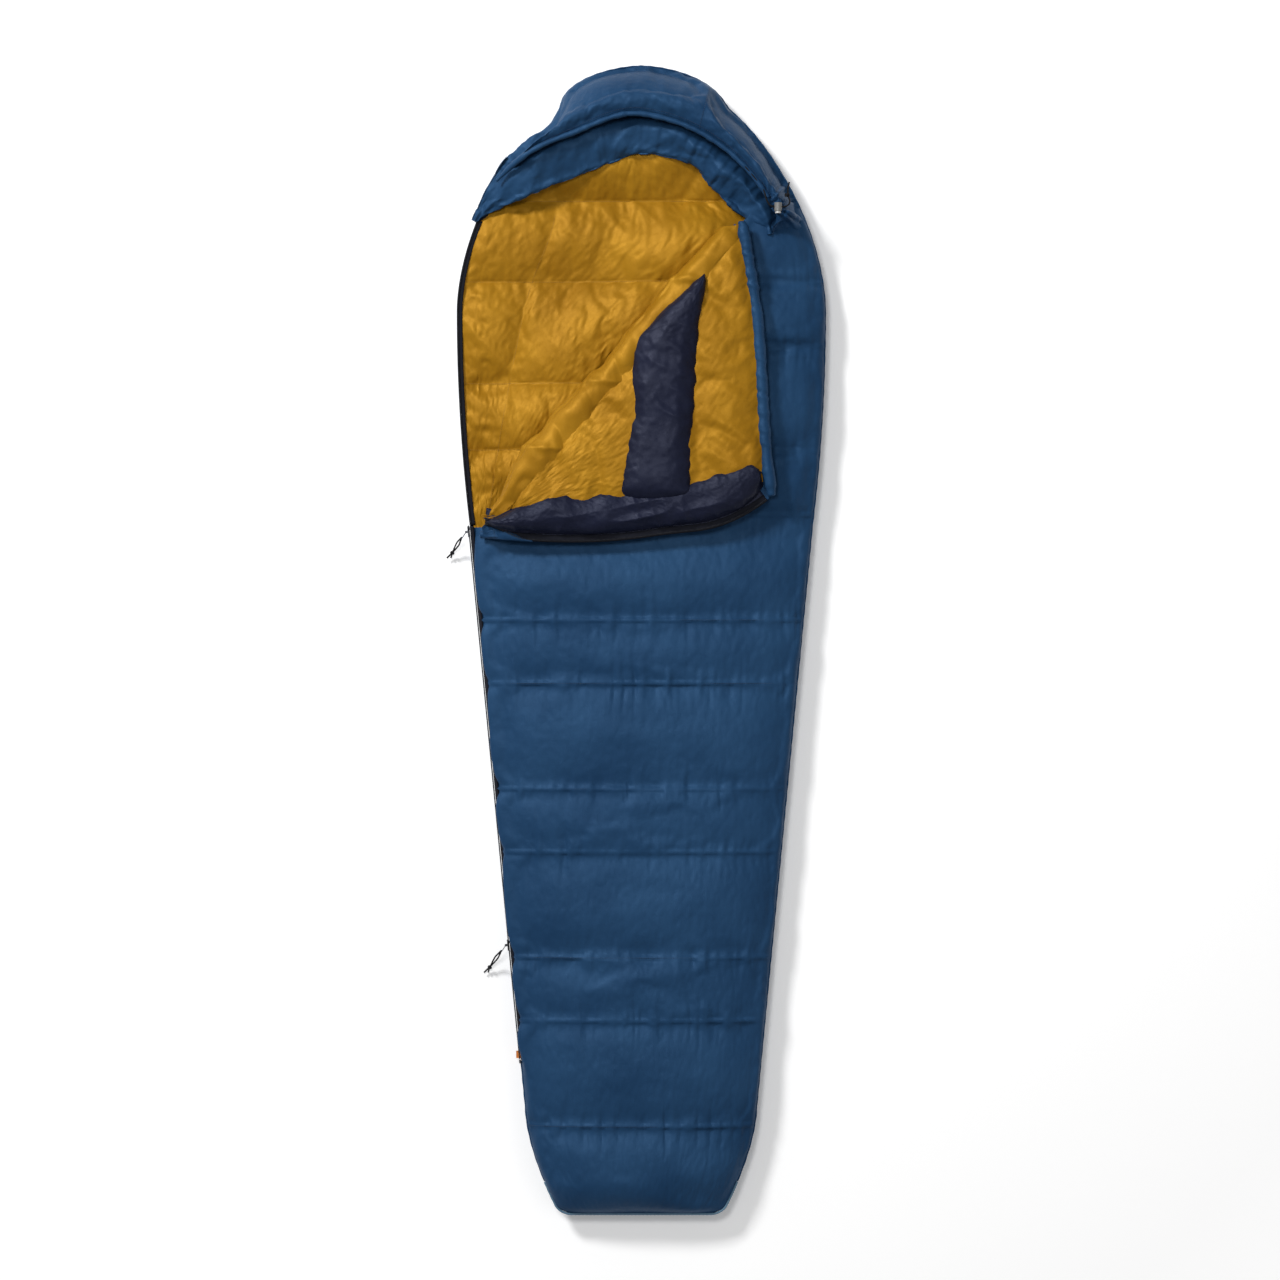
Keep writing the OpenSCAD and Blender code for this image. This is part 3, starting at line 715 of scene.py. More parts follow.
def nylon(name, base, shade, rough, sheen, wrinkle, weave=1500.0, ripstop=0.0, spec=0.5,
          metal=0.0, tint=(1, 1, 1)):
    """Woven nylon: fine weave, optional ripstop grid, soft crumple and uneven dye.

    weave is the thread wave's scale, and ripstop the grid's pitch.
    """
    mat, tree, bsdf = new_material(name)
    base, shade = linear(base), linear(shade)
    at = add(tree, "TexCoord", out="Object")
    # dye and handling
    blotch = add(tree, "TexNoise", {"Scale": 7, "Detail": 5, "Vector": at}, "Fac")
    grain = add(tree, "TexNoise", {"Scale": 160, "Detail": 3, "Vector": at}, "Fac")
    dye_node = tree.nodes.new("ShaderNodeMix")
    dye_node.data_type = "RGBA"
    share = add(tree, "MapRange", {"From Min": 0.25, "From Max": 0.65, "Value": blotch}, "Result")
    wire(dye_node, {"A": (*shade, 1), "B": (*base, 1), "Factor": share})
    # weave
    threads = [add(tree, "TexWave", {"Scale": weave, "Vector": at}, "Fac", bands_direction=axis)
               for axis in "XY"]
    mesh = add(tree, "Math", {0: threads[0], 1: threads[1]}, operation="MULTIPLY")
    darken_node = tree.nodes.new("ShaderNodeMix")
    darken_node.data_type, darken_node.blend_type = "RGBA", "MULTIPLY"
    gray = add(tree, "CombineColor", {"Red": mesh, "Green": mesh, "Blue": mesh}, "Color")
    wire(darken_node, {"Factor": 0.18, "A": dye_node.outputs["Result"], "B": gray})
    bump = add(tree, "Bump", {"Strength": 0.25, "Distance": 0.00012, "Height": mesh}, "Normal")
    # crumple finer than the modelled folds
    crumple = add(tree, "TexNoise", {"Scale": 38, "Detail": 4, "Distortion": 0.6, "Vector": at},
                  "Fac")
    bump = add(tree, "Bump", {"Strength": wrinkle, "Distance": 0.004, "Height": crumple,
                              "Normal": bump}, "Normal")
    if ripstop > 0:
        scaled = add(tree, "VectorMath", {"Scale": 1 / ripstop, 0: at}, operation="SCALE")
        cell = add(tree, "VectorMath", {0: scaled}, operation="FRACTION")
        split = tree.nodes.new("ShaderNodeSeparateXYZ")
        wire(split, {0: cell})
        ribs = [add(tree, "Math", {1: 0.08, 0: split.outputs[axis]}, operation="LESS_THAN")
                for axis in "XY"]
        grid = add(tree, "Math", {0: ribs[0], 1: ribs[1]}, operation="MAXIMUM")
        bump = add(tree, "Bump", {"Strength": 0.2, "Distance": 0.0002, "Height": grid,
                                  "Normal": bump}, "Normal")
    roughness = add(tree, "MapRange", {"To Min": rough - 0.07, "To Max": rough + 0.1,
                                       "Value": grain}, "Result")
    wire(bsdf, {
        "Base Color": darken_node.outputs["Result"], "Normal": bump, "Roughness": roughness,
        "Specular IOR Level": spec, "Sheen Weight": sheen, "Sheen Roughness": 0.35,
        "Sheen Tint": (*[min(1, c * 3 + 0.1) for c in base], 1),
        "Metallic": metal, "Specular Tint": (*tint, 1)})
    return mat


def simple(name, color, rough, metallic=0.0, grain=400, bump=0.1, depth=0.0002):
    """A plain surface with a fine grain in colour and relief."""
    mat, tree, bsdf = new_material(name)
    color = linear(color)
    at = add(tree, "TexCoord", out="Object")
    fleck = add(tree, "TexNoise", {"Scale": grain, "Detail": 4, "Vector": at}, "Fac")
    mixed = add(tree, "Mix", {"A": (*[c * 0.75 for c in color], 1),
                              "B": (*[min(1, c * 1.2) for c in color], 1),
                              "Factor": fleck}, "Result", data_type="RGBA")
    normal = add(tree, "Bump", {"Strength": bump, "Distance": depth, "Height": fleck}, "Normal")
    wire(bsdf, {"Base Color": mixed, "Normal": normal, "Roughness": rough, "Metallic": metallic})
    return mat


BLUE = nylon("shell_nylon", (38, 72, 108), (26, 57, 91), rough=0.48, sheen=0.01, ripstop=0.0045,
             wrinkle=0.26, spec=0.16, metal=0.12, tint=(0.5, 0.75, 1.0))
GOLD = nylon("liner_taffeta", (170, 122, 27), (148, 102, 18), rough=0.46, sheen=0.0,
             wrinkle=0.22, spec=0.22, metal=0.18, tint=(1.0, 0.80, 0.35))
NAVY = nylon("navy_taffeta", (25, 29, 49), (18, 21, 38), rough=0.46, sheen=0.01,
             wrinkle=0.18, spec=0.22, tint=(0.7, 0.75, 1.0))
TAPE = nylon("zip_tape_weave", (22, 24, 34), (15, 17, 26), rough=0.75, sheen=0.02, spec=0.15,
             weave=700, wrinkle=0.05)
PIPING = nylon("piping_weave", (92, 128, 152), (70, 104, 130), rough=0.6, sheen=0.2,
               weave=700, wrinkle=0.05)
RIBBON = nylon("ribbon_weave", (220, 130, 40), (190, 105, 28), rough=0.6, sheen=0.2,
               weave=700, wrinkle=0.05)
CORD = nylon("cord_braid", (20, 20, 26), (11, 11, 15), rough=0.7, sheen=0.04, spec=0.2,
             weave=500, wrinkle=0.1)
COIL = simple("coil_nylon", (20, 21, 28), rough=0.5)
METAL = simple("painted_zinc", (54, 56, 62), rough=0.38, metallic=0.55)
LOCK = simple("lock_plastic", (112, 112, 110), rough=0.42)
BUTTON = simple("button_plastic", (186, 186, 182), rough=0.45)
STEEL = simple("spring_wire", (190, 190, 195), rough=0.25, metallic=1.0)
THREAD = simple("thread_blue", (30, 52, 82), rough=0.6)
THREAD_GOLD = simple("thread_gold", (150, 106, 26), rough=0.6)
# Part of the material set, worn by no piece here
simple("down", (238, 236, 228), rough=0.9, grain=120, bump=0.8, depth=0.004)
simple("baffle_mesh", (220, 220, 218), rough=0.8, grain=900, bump=0.6, depth=0.0005)

# Blends: first body, second body, where the blend starts and ends
TO_HOOD = ("bag", "hood", (0, 0.700, 0.04), (0, 0.870, 0.04))


def skin(obj, mat, slot, body, replaces=()):
    """Gives a piece its material, slot and motion. body is a body's name or a blend."""
    obj.data.materials.clear()
    obj.data.materials.append(mat)
    blended = isinstance(body, tuple)
    if not blended:
        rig.ride(obj, body)
    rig.slot(obj, slot)
    if replaces:
        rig.replaces(obj, *replaces)
    if blended:
        first, second, start, end = body
        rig.blend(obj, first, second, start=start, end=end)


# ================================================================ pieces before simulation
# ---------------------------------------------------------------- top shell, foot to neck
TOP_END = 0.800
TOP_Z = 0.0860
TOP_POWER = 2.35         # superellipse power of the top's cross-section


def top_pins(x, y, z):
    pinned = on_seam(y, TOP_SEAMS) | (z < SIDE_Z + 0.001)
    pinned = pinned | ((z < 0.066) & (x < 0) & (y < OPEN))
    return (pinned | (y < FOOT + 0.001) | (y > TOP_END - 0.001)).astype(float)


def stays_down(x, y, margin):
    """The part of the top layer that isn't folded over."""
    return (fold_distance(x, y) > margin) | (y < OPEN - 0.006)


def trim_corner(obj):
    """Cuts the top shell beside the fold line and drops the corner beyond it."""
    bm = bmesh.new()
    bm.from_mesh(obj.data)
    x, y = FOLD_A + FOLD_N * 0.004
    bmesh.ops.bisect_plane(bm, geom=bm.verts[:] + bm.edges[:] + bm.faces[:], dist=1e-4,
                           plane_co=(x, y, 0), plane_no=(*FOLD_N, 0))
    centers = np.array([f.calc_center_median() for f in bm.faces])
    keep = stays_down(centers[:, 0], centers[:, 1], 0.003)
    bmesh.ops.delete(bm, geom=[f for f, k in zip(bm.faces, keep) if not k], context="FACES")
    bmesh.ops.delete(bm, geom=[v for v in bm.verts if not v.link_faces], context="VERTS")
    bm.to_mesh(obj.data)
    bm.free()
    obj.data.update()


y = rows_between([FOOT] + TOP_SEAMS[::-1] + [TOP_END], STEP)[:, None]
across, lift = section(120, TOP_POWER, 0.15)
fraction, width = chambers(y, [FOOT] + TOP_SEAMS + [TOP_END])
puff = np.where(width > 0.15, 0.0125, np.where(width > 0.12, 0.0095, 0.0085)) * hump(fraction, 2.0)
height = (TOP_Z - SIDE_Z + puff - 0.015 * bell(y - 0.185, 0.052)) * round_off(y - FOOT, 0.100)
seam = seam_distance(y, TOP_SEAMS)
half = half_w(y) - 0.0005
x = (half - 0.0045 * bell(seam, 0.014) * ramp(lift, 0.0, 0.5)) * across
z = SIDE_Z + height * lift
# a roll over the closed zip, and fuller chambers along the right edge
x = x - 0.0105 * bell(z - 0.0625, 0.0055) * (x < 0) * (
    ramp(y, -0.81, -0.74) * (1 - ramp(y, OPEN - 0.035, OPEN - 0.005))
    * (1 - 0.45 * bell(seam, 0.012)))
bulge = ramp(y, 0.215, 0.26) * ramp(x, 0.175, 0.245) * (1 - ramp(x, half - 0.035, half))
z = z + bulge * (0.0075 * hump(fraction, 2.2) - 0.0060 * bell(seam, 0.007))
points = xyz(x, y, z)
jitter(points, top_pins(x, y, z), 0.0005)
for row in points[on_seam(y, TOP_SEAMS)[:, 0]]:
    down = stays_down(row[:, 0], row[:, 1], 0.006)
    if down.sum() > 3:
        stitch("top_shell_stitching", row[down])
top = sheet("bag_top_shell", points)
trim_corner(top)
co = read_vectors(top, "co")
pin = top_pins(*co.T)
beyond = fold_distance(co[:, 0], co[:, 1])
near = (beyond < 0.0075) & (co[:, 1] > OPEN - 0.02)
pin[near] = 1
co[near, 2] -= 0.004 * (1 - clip01(beyond[near] / 0.0075))
set_co(top, co)
cloth(top, pin, pressure=2.2, grow=0.005, cap=0.005, bend=0.10, stiff=14)

# ---------------------------------------------------------------- folded corner's shell
marks = [0.212] + CORNER_SEAMS + [CHEST]
y = rows_between(marks, STEP)[:, None]
left = corner_x(y) + 0.0045
right = np.maximum(hinge_x(y) - 0.0045, left + 0.004)
x = right + (left - right) * np.linspace(0, 1, 62)
z = 0.0900 + 0.0045 * hump(chambers(y, marks)[0], 2.2) * round_off(x - left, 0.05, 2)
points = xyz(x, y, z)
seam_rows = on_seam(y, TOP_SEAMS)[:, 0]
pin = rim_pins(x.shape, seam_rows)
for row in points[seam_rows]:
    stitch("flap_shell_stitching", folded(row), up=(0, 0, -1))
jitter(points, pin, 0.0004)
flap_shell = sheet("flap_outer_shell", folded(points))
cloth(flap_shell, pin, pressure=2, grow=0.006, cap=0.003, bend=0.05)

# ---------------------------------------------------------------- back shell, foot to crown
BOTTOM_Z = 0.0005
BACK_POWER = 3.6
hood_rows = HOOD_SEAM + (CROWN - HOOD_SEAM) * np.sin(np.linspace(0, math.pi / 2, 44)[1:])
y = rows_between([FOOT] + BACK_SEAMS[::-1] + [HOOD_SEAM], STEP)
y = np.concatenate([y, hood_rows])[:, None]
across, depth = section(64, BACK_POWER, 0.12)
fraction, _ = chambers(y, [FOOT] + BACK_SEAMS + [HOOD_SEAM, CROWN + 0.001])
seam = seam_distance(y, BACK_SEAMS + [HOOD_SEAM])
swell = 0.004 * hump(fraction, 2.2) * clip01((CROWN - y) / 0.1) - 0.004 * bell(seam, 0.012)
half = np.where(across < 0, seam_w(y, -1), seam_w(y, 1)) - 0.0005
x = (half + swell * clip01(depth * 1.6)) * across
ends = round_off(y - FOOT, 0.06) * round_off(CROWN - y, 0.05)
z = SIDE_Z - (SIDE_Z - BOTTOM_Z) * ends * depth + 0.004 * bell(seam, 0.010) * depth ** 2
back = sheet("bag_back_shell", xyz(x, y, z), flip=True)

# ---------------------------------------------------------------- back lining in the opening
y = rows_between([-0.20, 0.037] + sorted(s for s in LINER_SEAMS if s > 0.1) + [0.922],
                 LINING_STEP)[:, None]
muff_x = np.sqrt(np.maximum(MUFF_R ** 2 - (y - MUFF_C[1]) ** 2, 0.045 ** 2))
edge_x = -(half_w(y) - 0.0070)
left = np.where(y < 0.80, edge_x, np.maximum(edge_x, MUFF_C[0] - muff_x))
right = np.where(y < 0.16, -0.22, hinge_x(y) + 0.085)
right = np.minimum(np.where(y > 0.78, MUFF_C[0] + muff_x, right), 0.245)
right = np.maximum(right, left + 0.12)
x = left + (right - left) * np.linspace(0, 1, 104)
fraction, _ = chambers(y, [-0.20] + LINER_SEAMS + [0.96])
base = 0.0335 + 0.010 * hump(fraction, 2.0) + 0.016 * ramp(y, 0.80, 0.90)
z = 0.0405 + (base - 0.0405) * ramp(x - left, 0, 0.028)
# it rises towards the fold
beyond = fold_distance(x, y)
z = z + (0.028 * ramp(x - left, 0.015, 0.110) * ramp(beyond, -0.170, -0.045)
         * (1 - ramp(beyond, -0.030, 0.015)) * ramp(y, 0.23, 0.30) * (1 - ramp(y, 0.74, 0.80)))
points = xyz(x, y, z)
seam_rows = on_seam(y, LINER_SEAMS)[:, 0]
pin = rim_pins(x.shape, seam_rows, hold=0.9)
# the facing's inner seam, a column 30 mm in from the left edge
facing = int(np.argmin(np.abs((x[60] - left[60]) - 0.030)))
pin[:, facing] = y[:, 0] < 0.80
for row in points[seam_rows]:
    stitch("liner_stitching", row)
stitch("liner_stitching", points[(y[:, 0] > 0.23) & (y[:, 0] < 0.79), facing])
jitter(points, pin, 0.0007)
points[..., 2] += (1 - pin) * 0.0022 * noise((x + y) * 16, (x - y) * 7, 11)
liner = sheet("bag_back_lining", points)
cloth(liner, pin, pressure=2.5, grow=0.024, cap=0.010, bend=0.02, stiff=10, floor_z=0.027)

# ---------------------------------------------------------------- hood crown
CROWN_ROWS = 150
CROWN_SEAM = 0.585       # share of the way round, left to right
inner = arc_points(LIP_C, LIP_R - 0.002, np.linspace(134, 22, 130))
inner = np.vstack([inner, [[0.240, 0.757], [0.232, 0.738], [0.226, 0.722]]])
inner = resample(lower_left(inner), CROWN_ROWS)
left_y = 0.858 + (CROWN - 0.858) * np.sin(np.linspace(0, math.pi / 2, 66))
right_y = np.concatenate([0.79 + (CROWN - 0.79) * np.sin(np.linspace(math.pi / 2, 0, 70))[1:],
                          np.linspace(0.785, 0.735, 8)])
outer = resample(np.vstack([np.stack([-hood_w(left_y, -1), left_y], -1),
                            np.stack([hood_w(right_y, 1), right_y], -1)]), CROWN_ROWS)
s = np.linspace(0, 1, CROWN_ROWS)[:, None]
outer[:, 0] -= 0.010 * ramp(s[:, 0], 0.93, 1.0)
inner[0] = outer[0] + (0.002, 0.0)
fat = 0.30 + 0.70 * (ramp(s, 0.0, 0.12) * (1 - 0.35 * ramp(s, 0.78, 1.0)))
# outward is 1 at the outer seam and 0 at the lip
outward, lift = (v[::-1] for v in section(30, 2.5, 0.7, end=math.pi / 2))
lip_z = 0.074 + 0.034 * ramp(s, 0, 0.16) * (1 - 0.12 * ramp(s, 0.75, 1))
z = (SIDE_Z + (lip_z - SIDE_Z) * lift
     + 0.020 * fat * np.sin(math.pi * outward ** 0.8) * lift ** 0.5)
z -= 0.0018 * bell(np.abs(s - CROWN_SEAM) * 1.05, 0.012) * np.sin(math.pi * clip01(outward))
z = SIDE_Z + (z - SIDE_Z) * (1 - 0.80 * ramp(s, 0.915, 1.0)) * (0.25 + 0.75 * ramp(s, 0.0, 0.05))
points = np.dstack([span(inner, outer, outward), z])
seam_row = int(np.argmin(np.abs(s - CROWN_SEAM)))
pin = rim_pins(z.shape, seam_row)
stitch("hood_stitching", points[seam_row, 1:-6])
stitch("hood_stitching", points[8:, 2] + np.array([0, 0, 0.0006]))
jitter(points, pin, 0.0005)
crown = sheet("hood_crown_shell", points)
cloth(crown, pin, pressure=5.5, grow=0.016, cap=0.012, bend=0.12, stiff=12)

# ---------------------------------------------------------------- face muff
MUFF_ROWS = 120
# x, y from the left end round to the right end
MUFF_INNER = [
    (-0.305, 0.774), (-0.278, 0.790), (-0.224, 0.817), (-0.150, 0.852), (-0.076, 0.881),
    (-0.015, 0.903), (0.040, 0.899), (0.096, 0.880), (0.124, 0.850), (0.150, 0.822),
    (0.184, 0.792), (0.214, 0.764), (0.226, 0.748)]
MUFF_OUTER = [
    (-0.3150, 0.779), (-0.3020, 0.806), (-0.280, 0.848), (-0.251, 0.890), (-0.200, 0.934),
    (-0.130, 0.972), (-0.050, 0.990), (0.030, 0.986), (0.110, 0.960), (0.190, 0.900),
    (0.240, 0.838), (0.256, 0.790), (0.250, 0.750)]
muff_outer = spline(MUFF_OUTER, MUFF_ROWS)
s = np.linspace(0, 1, MUFF_ROWS)[:, None]
turn = np.linspace(math.pi, -0.45 * math.pi, 34)
share = np.where(turn < 0, 0.55 + 0.45 * np.cos(turn), (1 + np.cos(turn)) / 2)
lift = np.sin(turn)
muff_z = 0.047 + 0.029 * ramp(s, 0.0, 0.22) - 0.008 * ramp(s, 0.85, 1.0)
fat = 0.006 + 0.020 * ramp(s, 0.0, 0.20) - 0.004 * ramp(s, 0.85, 1.0)
z = muff_z + fat * lift
z -= 0.006 * ramp(share, 0.35, 1.0) * ramp(s, 0.1, 0.3) * (lift > 0)
z -= 0.013 * (1 - ramp(share, 0.10, 0.50)) * ramp(s, 0.05, 0.2) * (lift > 0)
pin = rim_pins(z.shape)
z += (1 - pin) * 0.0030 * noise(s * 30 + share * 2.2, share * 2.5 + s * 3, 5)
points = np.dstack([span(muff_outer, spline(MUFF_INNER, MUFF_ROWS), share), z])
jitter(points, pin, 0.0005)
muff = sheet("hood_face_muff", points, flip=True)
cloth(muff, pin, pressure=3.5, grow=0.035, cap=0.010, bend=0.03, stiff=10)

# ---------------------------------------------------------------- folded corner's lining
y = rows_between([0.214] + CORNER_SEAMS + [CHEST - 0.003], LINING_STEP)[:, None]
right = np.maximum(hinge_x(y) - 0.024, corner_x(y) + 0.044)
left = np.minimum(corner_x(y) + 0.040, right - 0.002)
x = right + (left - right) * np.linspace(0, 1, 74)
z = 0.1095 + 0.0155 * ramp(x - left, 0, 0.05) * (0.35 + 0.65 * ramp(CHEST - y, 0, 0.03))
z = z - 0.006 * (1 - ramp(right - x, 0, 0.02))
points = folded(xyz(x, y, 2 * FOLD_Z - z))
open_x, open_y = points[..., 0], points[..., 1]
from_sewn = open_x - (0.100 - 0.045 * (open_y - 0.45))     # distance right of the sewn line
folds = noise((open_y + 0.55 * open_x) * 46, (open_x - 0.4 * open_y) * 9, 21)
points[..., 2] += (0.0035 * np.maximum(folds, -0.4) * ramp(from_sewn, 0.0, 0.025)
                   * ramp(CHEST - y, 0.003, 0.027) * ramp(x - left, 0.01, 0.04))
pin = rim_pins(x.shape)
pin[np.abs(from_sewn) < 0.0035] = 1
jitter(points, pin, 0.0006)
flap_liner = sheet("flap_lining", points)
cloth(flap_liner, pin, pressure=2.5, grow=0.026, cap=0.008, bend=0.02, stiff=10)

# ---------------------------------------------------------------- draft collar on the lining
_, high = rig.box("draft_collar_cover")
tip = np.array([high[0] - 0.002, high[1] + 0.002])
# x, y of the two edges, from the tip
COLLAR_FREE = [(0, 0), (-0.024, -0.020), (-0.060, -0.052), (-0.103, -0.095), (-0.121, -0.118),
               (-0.133, -0.172), (-0.139, -0.246), (-0.150, -0.320), (-0.159, -0.440)]
COLLAR_SEWN = [(0, 0), (0.002, -0.022), (-0.007, -0.080), (-0.013, -0.172), (-0.020, -0.283),
               (-0.028, -0.440)]
points, pin = pillow(tip + np.array(COLLAR_FREE), tip + np.array(COLLAR_SEWN), base=0.1225,
                     height=0.0205, rows=96, cols=30, power=2.6, seed=8, waves=20, amp=0.0010,
                     ends=0.10)
s = np.linspace(0, 1, 96)[:, None]
gather = np.linspace(0, 1, 30) ** 3
points[..., 2] += 0.0010 * gather * noise(s * 75, gather * 0.2, 31)
points[..., 2] -= 0.032 * ramp(s, 0.905, 0.985)
jitter(points, pin, 0.0004)
collar = sheet("draft_collar_pad", points, flip=True)
cloth(collar, pin, pressure=2.5, grow=0.008, cap=0.004, bend=0.05, stiff=10)

# ---------------------------------------------------------------- draft tube inside the zip
TUBE_HALF = 0.0395
y = np.linspace(0.2115, CHEST + 0.012, 60)
t = np.linspace(0, 1, 60)
fat = (1 - clip01(2 * t - 1) ** 14) ** 0.5 * np.sin(math.pi / 2 * clip01(t / 0.24)) ** 0.85
middle = 0.0560 - 0.0260 * (1 - ramp(t, 0.0, 0.22))
low_edge = open_path(y, middle - TUBE_HALF * fat, 0.105)
high_edge = open_path(y, middle + TUBE_HALF * fat, 0.105)
points, pin = pillow(high_edge[:, :2], low_edge[:, :2], base=0.1045, height=0.0310, rows=150,
                     cols=34, power=2.3, seed=17, waves=16, amp=0.0010, ends=0.16)
s, u = np.linspace(0, 1, 150)[:, None], np.linspace(0, 1, 34)
points[..., 2] += 0.0010 * np.abs(2 * u - 1) ** 2.5 * noise(s * 95, u * 2, 41)
points[..., 2] += 0.0030 * ramp(s, 0.90, 0.985) * noise(u * 9, s * 3, 43)
jitter(points, pin, 0.0004)
draft_tube = sheet("draft_tube_roll", points)
cloth(draft_tube, pin, pressure=2.5, grow=0.006, cap=0.004, bend=0.06, stiff=10)

simulate()


# ================================================================ relief after simulation
def puckers(x, y, seams, reach, amp, freq, seed=3):
    """Gathers square to the seams, fading out within reach of the thread."""
    offset = np.abs(y[:, None] - np.asarray(seams)[None])
    k = np.argmin(offset, axis=1)
    dist = np.min(offset, axis=1)
    fine = noise(x * freq + 0.35 * np.sin(y * 40), y * 9 + k * 11.3, seed)
    coarse = noise(x * freq * 0.45, y * 6 + k * 7.7, seed + 1)
    near = clip01(dist / 0.0016) * np.exp(-(dist / reach) ** 1.5)
    far = clip01(dist / 0.0016) * bell(dist, reach * 2.1)
    ridge = 1 - 2.2 * np.abs(noise(x * freq * 0.5 + 3.0 * dist, y * 4 + k * 5.1, seed + 2))
    patches = noise(x * 9, y * 3 + k * 3.3, seed + 5) > -0.35
    return amp * (near * (0.65 * fine + 0.55 * coarse)
                  + 0.55 * far * np.clip(ridge, -0.3, 1) * patches)


def top_field(x, y, z, nz):
    up = clip01(nz)
    d = puckers(x, y, TOP_SEAMS, reach=0.020, amp=0.0036, freq=100)
    d *= 0.6 + 0.8 * np.abs(noise(x * 6, y * 5, 57))
    d -= 0.0020 * bell(seam_distance(y, TOP_SEAMS), 0.0030)
    # creases fanning from the right end of the neck
    angle, dist = polar(x, y, 0.225, 0.775)
    d += 0.0060 * crease(angle * 5.0, dist * 6, 56) * bell(dist, 0.085) * up
    # scattered creases and broad unevenness
    d += (0.0022 * crease(x * 9 - y * 7, y * 12 + x * 14, 58)
          * ramp(noise(x * 3.1, y * 3.1, 59), 0.1, 0.6) * up)
    d += 0.0020 * noise(x * 7 + y * 2, y * 19, 51)
    d += 0.0009 * noise(x * 19, y * 33 + x * 6, 52)
    # folds that hang below the folded corner's hem
    below = 0.205 - y
    f = noise(x * 34 + 2.2 * below, below * 3.0, 53)
    d += (0.0080 * np.sign(f) * np.abs(f) ** 1.2 * ramp(below, -0.02, 0.004)
          * (1 - ramp(below, 0.012, 0.085)) * ramp(x, -0.12, 0.06) * up)
    # creases at the foot and along the lower left edge
    d += 0.0022 * noise((x - 1.1 * y) * 30, (x + y) * 6, 54) * ramp(-y, 0.86, 0.93) * up
    d += (0.0035 * noise((y + 0.35 * x) * 60, x * 6, 55) * bell(y + 0.70, 0.06)
          * ramp(-x, 0.10, 0.22) * up)
    # creases fanning from the left edge where the opening starts
    angle, dist = polar(x, y, -half_w(0.2), 0.235)
    d += (0.0042 * crease(angle * 6.0, dist * 3, 60) * bell(dist - 0.07, 0.075)
          * ramp(0.19 - y, 0.0, 0.03) * up)
    return d * clip01((z - SIDE_Z) / 0.012)


def back_field(x, y, z, nz):
    side = ramp(np.abs(nz), 0.97, 0.6)
    d = puckers(x, y, BACK_SEAMS + [HOOD_SEAM], reach=0.015, amp=0.0014, freq=90, seed=71)
    return (d + 0.0010 * noise(x * 9, y * 24, 73)) * side * clip01((SIDE_Z - z) / 0.010)


def liner_field(x, y, z, nz):
    d = puckers(x, y, LINER_SEAMS, reach=0.016, amp=0.0022, freq=85, seed=81)
    d -= 0.0012 * bell(seam_distance(y, LINER_SEAMS), 0.0022)
    d += 0.0014 * noise((x + y) * 20, (x - y) * 8, 83)
    d += 0.0016 * crease((x - y) * 5, (x + y) * 17, 84)
    # gathers along the facing's seam
    inset = x + half_w(y) - 0.0075
    dist = np.abs(inset - 0.030)
    return d + (0.0022 * noise(y * 80, inset * 20, 85) * bell(dist, 0.022)
                * clip01(dist / 0.002))


def liner_bell_exp_field(x, y, z, nz):
    return liner_field(x, y, z, nz)


def crown_field(x, y, z, nz):
    angle, dist = polar(x, y, 0.235, 0.800)
    d = 0.0055 * crease(angle * 5.5, dist * 7, 93) * bell(dist, 0.075)
    # gathers outside the lip
    angle, dist = polar(x, y, *LIP_C)
    d += (0.0022 * noise(angle * 30, dist * 8, 94) * np.exp(-clip01(dist - 0.315) / 0.022)
          * clip01((dist - 0.322) / 0.004))
    return d + 0.0014 * noise(x * 22, y * 26, 91) + 0.0010 * noise(x * 70, y * 40, 92)


def muff_field(x, y, z, nz):
    angle, dist = polar(x, y, *MUFF_C)
    fuller = 0.45 + 0.9 * ramp(x, 0.03, 0.12)
    return fuller * (0.0030 * noise(angle * 18, dist * 14, 95)
                     + 0.0016 * noise(angle * 46, dist * 12, 96))


def tube_field(x, y, z, nz):
    d = 0.0024 * crease(x * 9, y * 38 - x * 8, 99)
    d += 0.0018 * crease(x * 34 + y * 12, y * 16 - x * 9, 89)
    return (d - 0.0010) * ramp(z, 0.1070, 0.1150)


relief(top, top_field)
skin(top, BLUE, "shell", TO_HOOD, ["top_shell", "top_down_fill", "top_baffle_walls",
                                   "footbox_shell", "footbox_down_fill"])
relief(flap_shell, lambda x, y, z, nz: (0.0010 * noise(x * 60, y * 60, 61)
                                        + 0.0015 * noise(x * 14, y * 18, 62)), ceiling=0.1030)
skin(flap_shell, BLUE, "shell", "flap", ["flap_shell", "flap_down_fill", "flap_baffle_walls"])
relief(back, back_field, floor=0.0)
skin(back, BLUE, "shell", TO_HOOD, ["back_shell", "back_down_fill", "back_baffle_walls",
                                    "hood_down_fill", "hood_baffle_wall"])
relief(liner, liner_field)
skin(liner, GOLD, "liner", TO_HOOD, ["back_liner", "hood_liner", "zip_facing_back"])
relief(crown, crown_field)
skin(crown, BLUE, "shell", TO_HOOD, ["hood_shell", "hood_crown_fill"])
relief(muff, muff_field)
skin(muff, BLUE, "shell", TO_HOOD, ["face_muff_cover", "face_muff_fill"])

